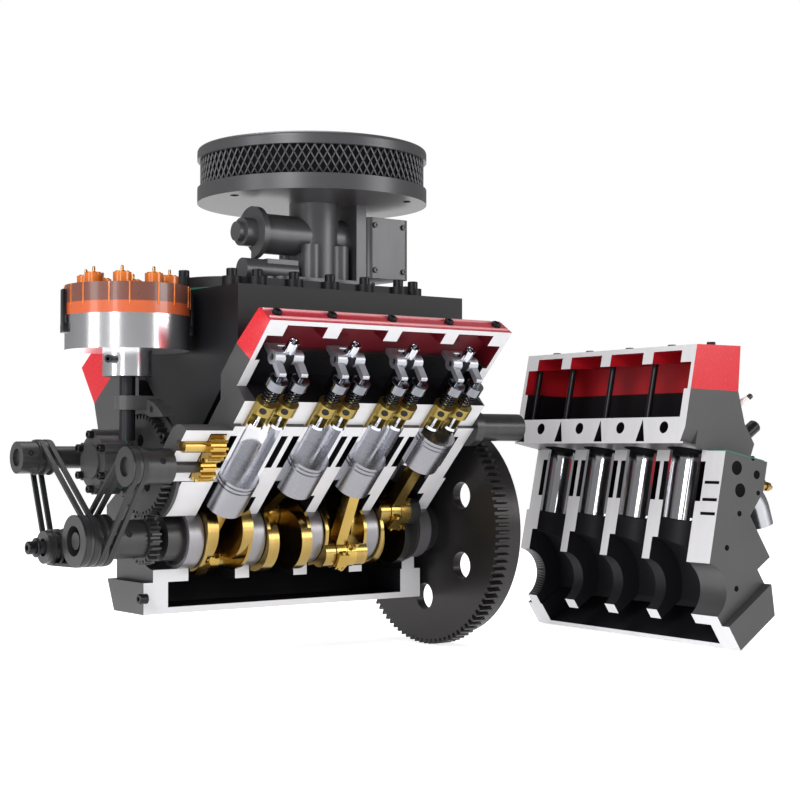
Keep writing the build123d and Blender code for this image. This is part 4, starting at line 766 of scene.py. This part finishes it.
UP = Vector((0, 0, 1))
tower_turns = [radians(10 + 45 * index) for index in range(8)]
tower_tops = [(round_cap(TOWER_RING, turn, TOWER_TOP), UP) for turn in tower_turns]
pin = ((0, -1.0), (0.7, -1.0), (0.7, 2.6), (0.45, 3.2), (0, 3.2))
turned("cap_pins", copper, pin, tower_tops, segments=16)
collar = ((2.4, -0.4), (3.2, -0.4), (3.2, 0.5), (2.4, 0.5), (2.4, -0.4))
turned("tower_collars", copper, collar, tower_tops, segments=24)
rib_parts = []
for turn in [turn + step for turn in tower_turns for step in (-RIB_TURN, RIB_TURN)]:
    out = Vector((cos(turn), sin(turn), 0))
    rib_parts.append((round_cap(CAP_RADIUS, turn, RIB_HEIGHT), UP, out, RIB_HALF))
blocks("cap_ribs", tower_resin, rib_parts, bevel=0.15)
# A clip is a spring blade with a foot below it.
clip_parts = []
for turn in (radians(-15), radians(165)):
    out = Vector((cos(turn), sin(turn), 0))
    clip_parts.append((round_cap(CAP_RADIUS + 1.2, turn, 107.5), UP, out, (8.5, 3.0, 0.7)))
    clip_parts.append((round_cap(CAP_RADIUS + 0.6, turn, 98.0), UP, out, (2.2, 4.0, 1.2)))
blocks("cap_clips", black_steel, clip_parts, bevel=0.4)
neck_way = Vector((-0.85, -0.53, 0)).normalized()
neck_seat = place(CAP_AXIS_X, 0, NECK_SCREW_HEIGHT) + neck_way * NECK_RADIUS * MM
screws("neck_screw", radius=1.9, height=6.0, spots=[(neck_seat, neck_way)])


# Intake manifold: black cast aluminium under a plenum with sixteen ears, sealed by a green gasket.
# The gasket stands half a millimetre proud of the plenum all round, as a hand-cut one does.
PLENUM_HALF, PLENUM_END = 26.0, 41.0
EAR_RADIUS, EARS_TOP, GASKET_PROUD = 4.5, 124.0, 0.5
# Black paint on a casting: matt, with a coarse pebble.
manifold_black = finish(
    "black_manifold_cast", "#0F0F12", "#17171A", metallic=0.0, roughness=0.45, grain=0.5, relief=0.04, shine=0.3
)
dress("intake_manifold", manifold_black)
side_ears = [(x, side * PLENUM_HALF) for x in (-42.0, -21.0, 0.0, 21.0, 42.0) for side in (-1, 1)]
end_ear_degrees = (-60, 0, 60)
end_ears = [
    (PLENUM_END + PLENUM_HALF * cos(radians(a)), PLENUM_HALF * sin(radians(a))) for a in end_ear_degrees
]
end_ears += [(-x, y) for x, y in end_ears]
plenum_seats = [(place(x, y, EARS_TOP), UP) for x, y in side_ears + end_ears]
screws("plenum_screws", radius=2.6, height=3.4, spots=plenum_seats)


def gasket_edge():
    """Outline of the plenum's gasket: a long round-ended sheet that follows the screw ears."""
    ear = EAR_RADIUS + GASKET_PROUD
    points = []
    for step in range(int(2 * PLENUM_END) + 1):
        x = -PLENUM_END + step
        reach = [PLENUM_HALF + GASKET_PROUD]
        for at, y in side_ears:
            if abs(x - at) < ear:
                reach.append(PLENUM_HALF + sqrt(max(ear ** 2 - (x - at) ** 2, 0)))
        points.append((x, -max(reach)))
    for step in range(1, 60):
        turn = radians(-90 + 3 * step)
        reach = [PLENUM_HALF + GASKET_PROUD]
        for at in end_ear_degrees:
            off = turn - radians(at)
            inside = ear ** 2 - (PLENUM_HALF * sin(off)) ** 2
            if inside > 0 and cos(off) > 0:
                reach.append(PLENUM_HALF * cos(off) + sqrt(inside))
        points.append((PLENUM_END + max(reach) * cos(turn), max(reach) * sin(turn)))
    return points + [(-x, -y) for x, y in points]


def sheet_of(name, material, outline, low, high):
    """Flat sheet of an outline round the crank's middle, between two heights."""
    mesh = bmesh.new()
    floors = [[mesh.verts.new(place(x, y, z)) for x, y in outline] for z in (low, high)]
    mesh.faces.new(floors[0][::-1])
    mesh.faces.new(floors[1])
    for k in range(len(outline)):
        after = (k + 1) % len(outline)
        mesh.faces.new((floors[0][k], floors[0][after], floors[1][after], floors[1][k]))
    bmesh.ops.recalc_face_normals(mesh, faces=mesh.faces)
    return kept_mesh(name, mesh, material, "engine")


sheet_of("plenum_gasket", gasket_green, gasket_edge(), low=118.0, high=118.9)


# Carburettor: zinc casting in a soft satin grey, with a turned barrel and the throttle quadrant on its shaft.
# Two pillars stand under the barrel, round plugs close the drillings, and four small screws hold the side box.
# Zinc casting: satin grey, with faint bands of tone.
zinc = finish(
    "satin_zinc_cast",
    "#5C5B5D",
    "#504F51",
    metallic=0.45,
    roughness=0.36,
    grain=0.4,
    relief=0.012,
    stretch=(4, 1, 1),
)
dress("carburetor", zinc)
dress("throttle_quadrant", zinc)
plug = ((0, 0), (2.2, 0), (2.2, 0.5), (1.9, 0.8), (0, 0.8))
plug_seats = [place(56.0, y, z) for y, z in ((-9, 137), (9, 137), (-9, 152), (9, 152))]
turned("bowl_plugs", zinc, plug, [(seat, ALONG_X) for seat in plug_seats])
screw_seats = [place(x, -17.0, z) for x, z in ((34, 133), (52, 133), (34, 156), (52, 156))]
box_seats = [(seat, OUT_SIDE) for seat in screw_seats]
screws("bowl_screws", radius=1.4, height=1.0, spots=box_seats, material=dark_steel)


# Air cleaner: spun steel base and lid in dark satin grey over a band of expanded metal.
# The band is slit and drawn sheet; it is modelled as two families of square strands that cross.
CLEANER_X = 7.0
BAND_FLOOR = 173.0
STRAND_COUNT = 88
STRAND_TWIST = 2 * 2 * pi / STRAND_COUNT
HOLE_RING, HOLE_HEIGHT = 50, 165.5
HOLE_HALF = (1.5, 1.5, 0.3)
# Spun steel in satin enamel: smooth, with long soft highlights.
lid_grey = finish(
    "satin_lid_enamel", "#434244", "#4B4A4C", metallic=0.3, roughness=0.34, grain=0.5, relief=0.012
)
# Expanded metal: bare grey strands with bright edges.
mesh_grey = finish("expanded_metal", "#4E4D4F", "#5C5B5D", metallic=0.7, roughness=0.35, grain=0.4, relief=0.01)
# Painted shade: dead black for the filter paper in its shade and for the holes, slots and the bottom of every
# drilling.
hole_painted_shade = finish(
    "black_hole_painted_shade", "#08080A", "#0F0F11", metallic=0.0, roughness=0.7, grain=0.8, relief=0.03, shine=0.05
)
for name in ("air_cleaner_base", "air_cleaner_lid"):
    dress(name, lid_grey)
dress("air_cleaner_band", hole_painted_shade)
band_sizes = {
    "Band Radius": ("NodeSocketFloat", 56.1 * MM),
    "Band Height": ("NodeSocketFloat", 14 * MM),
    "Strand Radius": ("NodeSocketFloat", 0.42 * MM),
    "Strands": ("NodeSocketInt", STRAND_COUNT),
    "Finish": ("NodeSocketMaterial", None),
}
strand_tree, size = tree_with("expanded_band", band_sizes)
unit_line = node(strand_tree, "GeometryNodeCurvePrimitiveLine", {"Start": (0, 0, 0), "End": (0, 0, 1)})
steps = node(strand_tree, "GeometryNodeResampleCurve", {"Count": 9}, {"Curve": unit_line.outputs[0]})
where = node(strand_tree, "GeometryNodeInputPosition")
parts = node(strand_tree, "ShaderNodeSeparateXYZ", {}, {0: where.outputs[0]})
wire = node(
    strand_tree, "GeometryNodeCurvePrimitiveCircle", {"Resolution": 4}, {"Radius": size["Strand Radius"]}
)
hub = node(strand_tree, "GeometryNodeMeshLine", {"Offset": (0, 0, 0)}, {"Count": size["Strands"]})
number = node(strand_tree, "GeometryNodeInputIndex")
pitch = node(strand_tree, "ShaderNodeMath", {"operation": "DIVIDE", 0: 2 * pi}, {1: size["Strands"]})
times = {"operation": "MULTIPLY"}
about = node(strand_tree, "ShaderNodeMath", times, {0: number.outputs[0], 1: pitch.outputs[0]})
spun = node(strand_tree, "ShaderNodeCombineXYZ", {}, {"Z": about.outputs[0]})
families = node(strand_tree, "GeometryNodeJoinGeometry")
for lean in (-STRAND_TWIST, STRAND_TWIST):
    angle = node(strand_tree, "ShaderNodeMath", {"operation": "MULTIPLY", 1: lean}, {0: parts.outputs["Z"]})
    coordinates = {}
    for key, operation in (("X", "COSINE"), ("Y", "SINE")):
        share = node(strand_tree, "ShaderNodeMath", {"operation": operation}, {0: angle.outputs[0]})
        reach = node(strand_tree, "ShaderNodeMath", times, {0: share.outputs[0], 1: size["Band Radius"]})
        coordinates[key] = reach.outputs[0]
    rise = node(strand_tree, "ShaderNodeMath", times, {0: parts.outputs["Z"], 1: size["Band Height"]})
    point = node(strand_tree, "ShaderNodeCombineXYZ", {}, {**coordinates, "Z": rise.outputs[0]})
    bent = node(
        strand_tree,
        "GeometryNodeSetPosition",
        {},
        {"Geometry": steps.outputs[0], "Position": point.outputs[0]},
    )
    strand = node(
        strand_tree,
        "GeometryNodeCurveToMesh",
        {"Fill Caps": True},
        {"Curve": bent.outputs[0], "Profile Curve": wire.outputs[0]},
    )
    ring_of = node(
        strand_tree,
        "GeometryNodeInstanceOnPoints",
        {},
        {"Points": hub.outputs[0], "Instance": strand.outputs[0], "Rotation": spun.outputs[0]},
    )
    strand_tree.links.new(ring_of.outputs[0], families.inputs[0])
band_seat = {"Translation": place(CLEANER_X, 0, BAND_FLOOR)}
seated = node(strand_tree, "GeometryNodeTransform", band_seat, {"Geometry": families.outputs[0]})
close_tree(strand_tree, seated.outputs[0], size["Finish"])
grown("expanded_metal_band", strand_tree, {"Finish": mesh_grey}, "engine")
# The base's holes are thin black blocks of painted shade.
hole_parts = []
for turn in [radians(-53 + 120 * index) for index in range(3)]:
    hole = place(CLEANER_X + HOLE_RING * cos(turn), HOLE_RING * sin(turn), HOLE_HEIGHT)
    hole_parts.append((hole, Vector((cos(turn), sin(turn), 0)), UP, HOLE_HALF))
blocks("base_holes", hole_painted_shade, hole_parts, bevel=0.1)


# Flywheel, starter and exhaust: dark turned steel with a hobbed ring gear, a black can, and bright drawn elbows.
# Six cap screws hold the flywheel to the crank's flange on its rear face.
WHEEL_REAR, WHEEL_SCREW_RING = 84.0, 9
# Turned flywheel steel: near black, with rings that catch the light.
flywheel_steel = finish(
    "turned_flywheel_steel",
    "#292727",
    "#343232",
    metallic=0.7,
    roughness=0.33,
    grain=0.4,
    relief=0.015,
    stretch=(7, 1, 1),
)
# Drawn steel tube: bright, with soft long highlights.
elbow_steel = finish(
    "drawn_elbow_steel", "#B5B5B9", "#9FA0A5", metallic=1.0, roughness=0.24, grain=1.5, relief=0.01
)
dress("flywheel", flywheel_steel)
dress("starter_motor", dark_steel)
dress("exhaust_elbows", elbow_steel)
wheel_turns = [radians(60 * index) for index in range(6)]
rear_seats = [place(WHEEL_REAR, WHEEL_SCREW_RING * cos(a), WHEEL_SCREW_RING * sin(a)) for a in wheel_turns]
wheel_seats = [(seat, ALONG_X) for seat in rear_seats]
screws("flywheel_screws", radius=2.2, height=2.4, spots=wheel_seats, body="crank")


# Removed half: drilled end face, spark plug, brass fitting and black union, as on the sawn-off piece by the engine.
# The drillings are blind oil and water ways; each is set in its face as a black plug of painted shade with a broken
# edge.
CASE_FRONT = -83.0
INBOARD = bank_way(-1, 0, 1)
OUTBOARD = bank_way(-1, 0, -1)
drilling = ((0, 0.04), (0.9, 0.04), (0.95, 0.12), (1.02, 0.12), (1.08, 0.0), (1.08, -1.0), (0, -1.0))
# Radius of each drilling, its distance along the cylinders and its distance towards the valley.
end_holes = (
    (3.4, 66.6, -9.7),
    (3.4, 55.7, -14.3),
    (2.1, 65.9, -24.6),
    (1.2, 73.8, -20.3),
    (1.2, 56.8, -27.5),
    (1.4, 43.8, -16.1),
    (1.4, 25.0, -10.6),
    (1.4, 5.5, -21.4),
    (1.5, -7.2, -34.7),
)
for number, (radius, along, inboard) in enumerate(end_holes, 1):
    scaled = [(share * radius, height) for share, height in drilling]
    hole = apart(bank(-1, CASE_FRONT, along, inboard), FORWARD)
    turned(f"end_drilling_{number}", hole_painted_shade, scaled, [hole])


def apart_block(x, along, inboard, run, up, half):
    """Block on the removed half, for blocks(): its ways turn with the half."""
    middle, turned_run = apart(bank(-1, x, along, inboard), run)
    return middle, turned_run, APART.to_3x3() @ up, half


# The slots in the sawn wall are thin black blocks of painted shade.
SLOT_HALF = (5.2, 0.8, 0.08)
slots = [apart_block(-76.5, along, 0.0, ALONG_X, INBOARD, SLOT_HALF) for along in (57.0, 48.0, 40.7)]
blocks("wall_slots", hole_painted_shade, slots, bevel=0.05)
# Middle of each gasket strip along the crank, and half its length.
strip_runs = ((-76.6, 6.6), (69.0, 1.2))
strips = [apart_block(x, DECK, -14.0, ALONG_X, bank_up, (length, 14.2, 0.3)) for x, length in strip_runs]
blocks("deck_gasket", gasket_green, strips, bevel=0.05)
cover_stud = ((0, 0), (1.7, 0), (1.7, 30.6), (0, 30.6))
stud_seats = [apart(bank(-1, x, 88.0, 12.0), bank_up) for x in (-34.0, 0.0, 34.0, 64.0)]
turned("cover_studs", black_steel, cover_stud, stud_seats)
# Glazed porcelain of the plug: white and wet-looking.
porcelain = finish(
    "glazed_porcelain", "#E9E7E4", "#F2F0EE", metallic=0.0, roughness=0.2, grain=0.6, relief=0.004, coat=0.6
)
plug_way = bank_way(-1, 0.7, -0.7)
plug_spot = apart(bank(-1, -65.0, 99.0, -19.5), plug_way)
plug_shell = ((0, -3), (3.4, -3), (3.4, 2.2), (2.6, 3.0), (0, 3.0))
turned("plug_shell", chrome, plug_shell, [plug_spot], segments=6)
plug_body = ((0, 3.0), (2.3, 3.0), (2.3, 7.0), (2.0, 7.5), (2.3, 8.0), (2.0, 8.5), (2.3, 9.0), (1.7, 12.0), (0, 12.0))
turned("plug_insulator", porcelain, plug_body, [plug_spot])
plug_tip = ((0, 12.0), (1.1, 12.0), (1.1, 13.5), (1.5, 13.8), (1.5, 15.4), (1.1, 15.8), (0, 15.8))
turned("plug_tip", dark_steel, plug_tip, [plug_spot])
union = ((0, -3), (3.6, -3), (3.6, 9.0), (3.1, 9.6), (2.2, 9.6), (2.2, 5.0), (0, 5.0))
turned("black_union", black_steel, union, [apart(bank(-1, -66.0, 88.0, -29.0), plug_way)])
fitting_spot = apart(bank(-1, -79.0, 62.0, -30.9), OUTBOARD)
fitting_hex = ((0, 0), (3.2, 0), (3.2, 3.0), (0, 3.0))
turned("fitting_hex", brass, fitting_hex, [fitting_spot], segments=6)
fitting_tail = ((0, 3.0), (1.6, 3.0), (1.6, 5.0), (2.4, 5.4), (2.4, 7.4), (1.2, 8.0), (1.2, 9.5), (0, 9.5))
turned("fitting_tail", brass, fitting_tail, [fitting_spot], segments=24)


# Studio: a pale floor under the flywheel's rim, wide soft lamps and a bright white room.
# The room is darker in what the metals mirror than in what the camera sees, as with black flags beside a product.
FLOOR_HALF = 8.0
FLOOR_GLOW = 0.76
MIRRORED_ROOM, SEEN_ROOM = 0.26, 1.0
WHITE = linear("#FFFFFF")
# Painted studio floor: an even matt white that fades into the room.
pale_floor = finish(
    "pale_studio_floor", "#FAFAFB", "#F7F7F9", metallic=0.0, roughness=0.75, grain=5.0, relief=0.001
)
floor_shader = pale_floor.node_tree.nodes["Principled BSDF"]
floor_shader.inputs["Emission Color"].default_value = WHITE
floor_shader.inputs["Emission Strength"].default_value = FLOOR_GLOW
floor_z = cad_low[2] - 0.5 * MM
floor_corners = [(x * FLOOR_HALF, y * FLOOR_HALF, floor_z) for x, y in ((-1, -1), (1, -1), (1, 1), (-1, 1))]
floor_mesh = bpy.data.meshes.new("floor")
floor_mesh.from_pydata(floor_corners, [], [(0, 1, 2, 3)])
floor_mesh.materials.append(pale_floor)
floor = bpy.data.objects.new("floor", floor_mesh)
bpy.context.scene.collection.objects.link(floor)

scene = bpy.context.scene
scene.view_settings.view_transform = "Standard"
world = bpy.data.worlds.new("studio")
scene.world = world
world.use_nodes = True
sky = world.node_tree
ray = node(sky, "ShaderNodeLightPath")
room = {"To Min": MIRRORED_ROOM, "To Max": SEEN_ROOM}
brightness = node(sky, "ShaderNodeMapRange", room, {"Value": ray.outputs["Is Camera Ray"]})
sky.nodes["Background"].inputs["Color"].default_value = WHITE
sky.links.new(brightness.outputs[0], sky.nodes["Background"].inputs["Strength"])


def lamp(name, position, size, power, height=None):
    """Soft lamp aimed at the engine's middle, square or with a height of its own."""
    data = bpy.data.lights.new(name, "AREA")
    data.shape = "RECTANGLE"
    data.size = size
    data.size_y = height or size
    data.energy = power
    light = bpy.data.objects.new(name, data)
    light.location = position
    light.rotation_euler = (Vector((0.03, 0, 0.08)) - Vector(position)).to_track_quat("-Z", "Y").to_euler()
    scene.collection.objects.link(light)


lamp("key", (-1.1, -0.65, 0.75), size=0.5, power=10.0)
lamp("side", (0.8, -1.0, 0.4), size=0.35, power=2.5)
lamp("top", (0.0, 0.3, 1.3), size=0.8, power=11.0)
lamp("left_strip", (-1.2, 0.0, 0.15), size=0.3, power=3.6, height=1.0)
lamp("middle_strip", (-1.02, -0.78, 0.1), size=0.16, power=2.4, height=0.9)
lamp("right_strip", (0.55, -1.15, 0.1), size=0.3, power=2.6, height=0.9)

camera_data = bpy.data.cameras.new("camera")
camera_data.lens = 73.87
camera_data.sensor_width = 36.0
camera_data.clip_end = 50.0
camera = bpy.data.objects.new("camera", camera_data)
camera.location = (-0.4572, -0.7021, 0.0793)
camera_turn = radians(37.0)
camera_rise = radians(1.62)
view = Vector((sin(camera_turn) * cos(camera_rise), cos(camera_turn) * cos(camera_rise), sin(camera_rise)))
camera.rotation_euler = view.to_track_quat("-Z", "Y").to_euler()
scene.collection.objects.link(camera)
scene.camera = camera
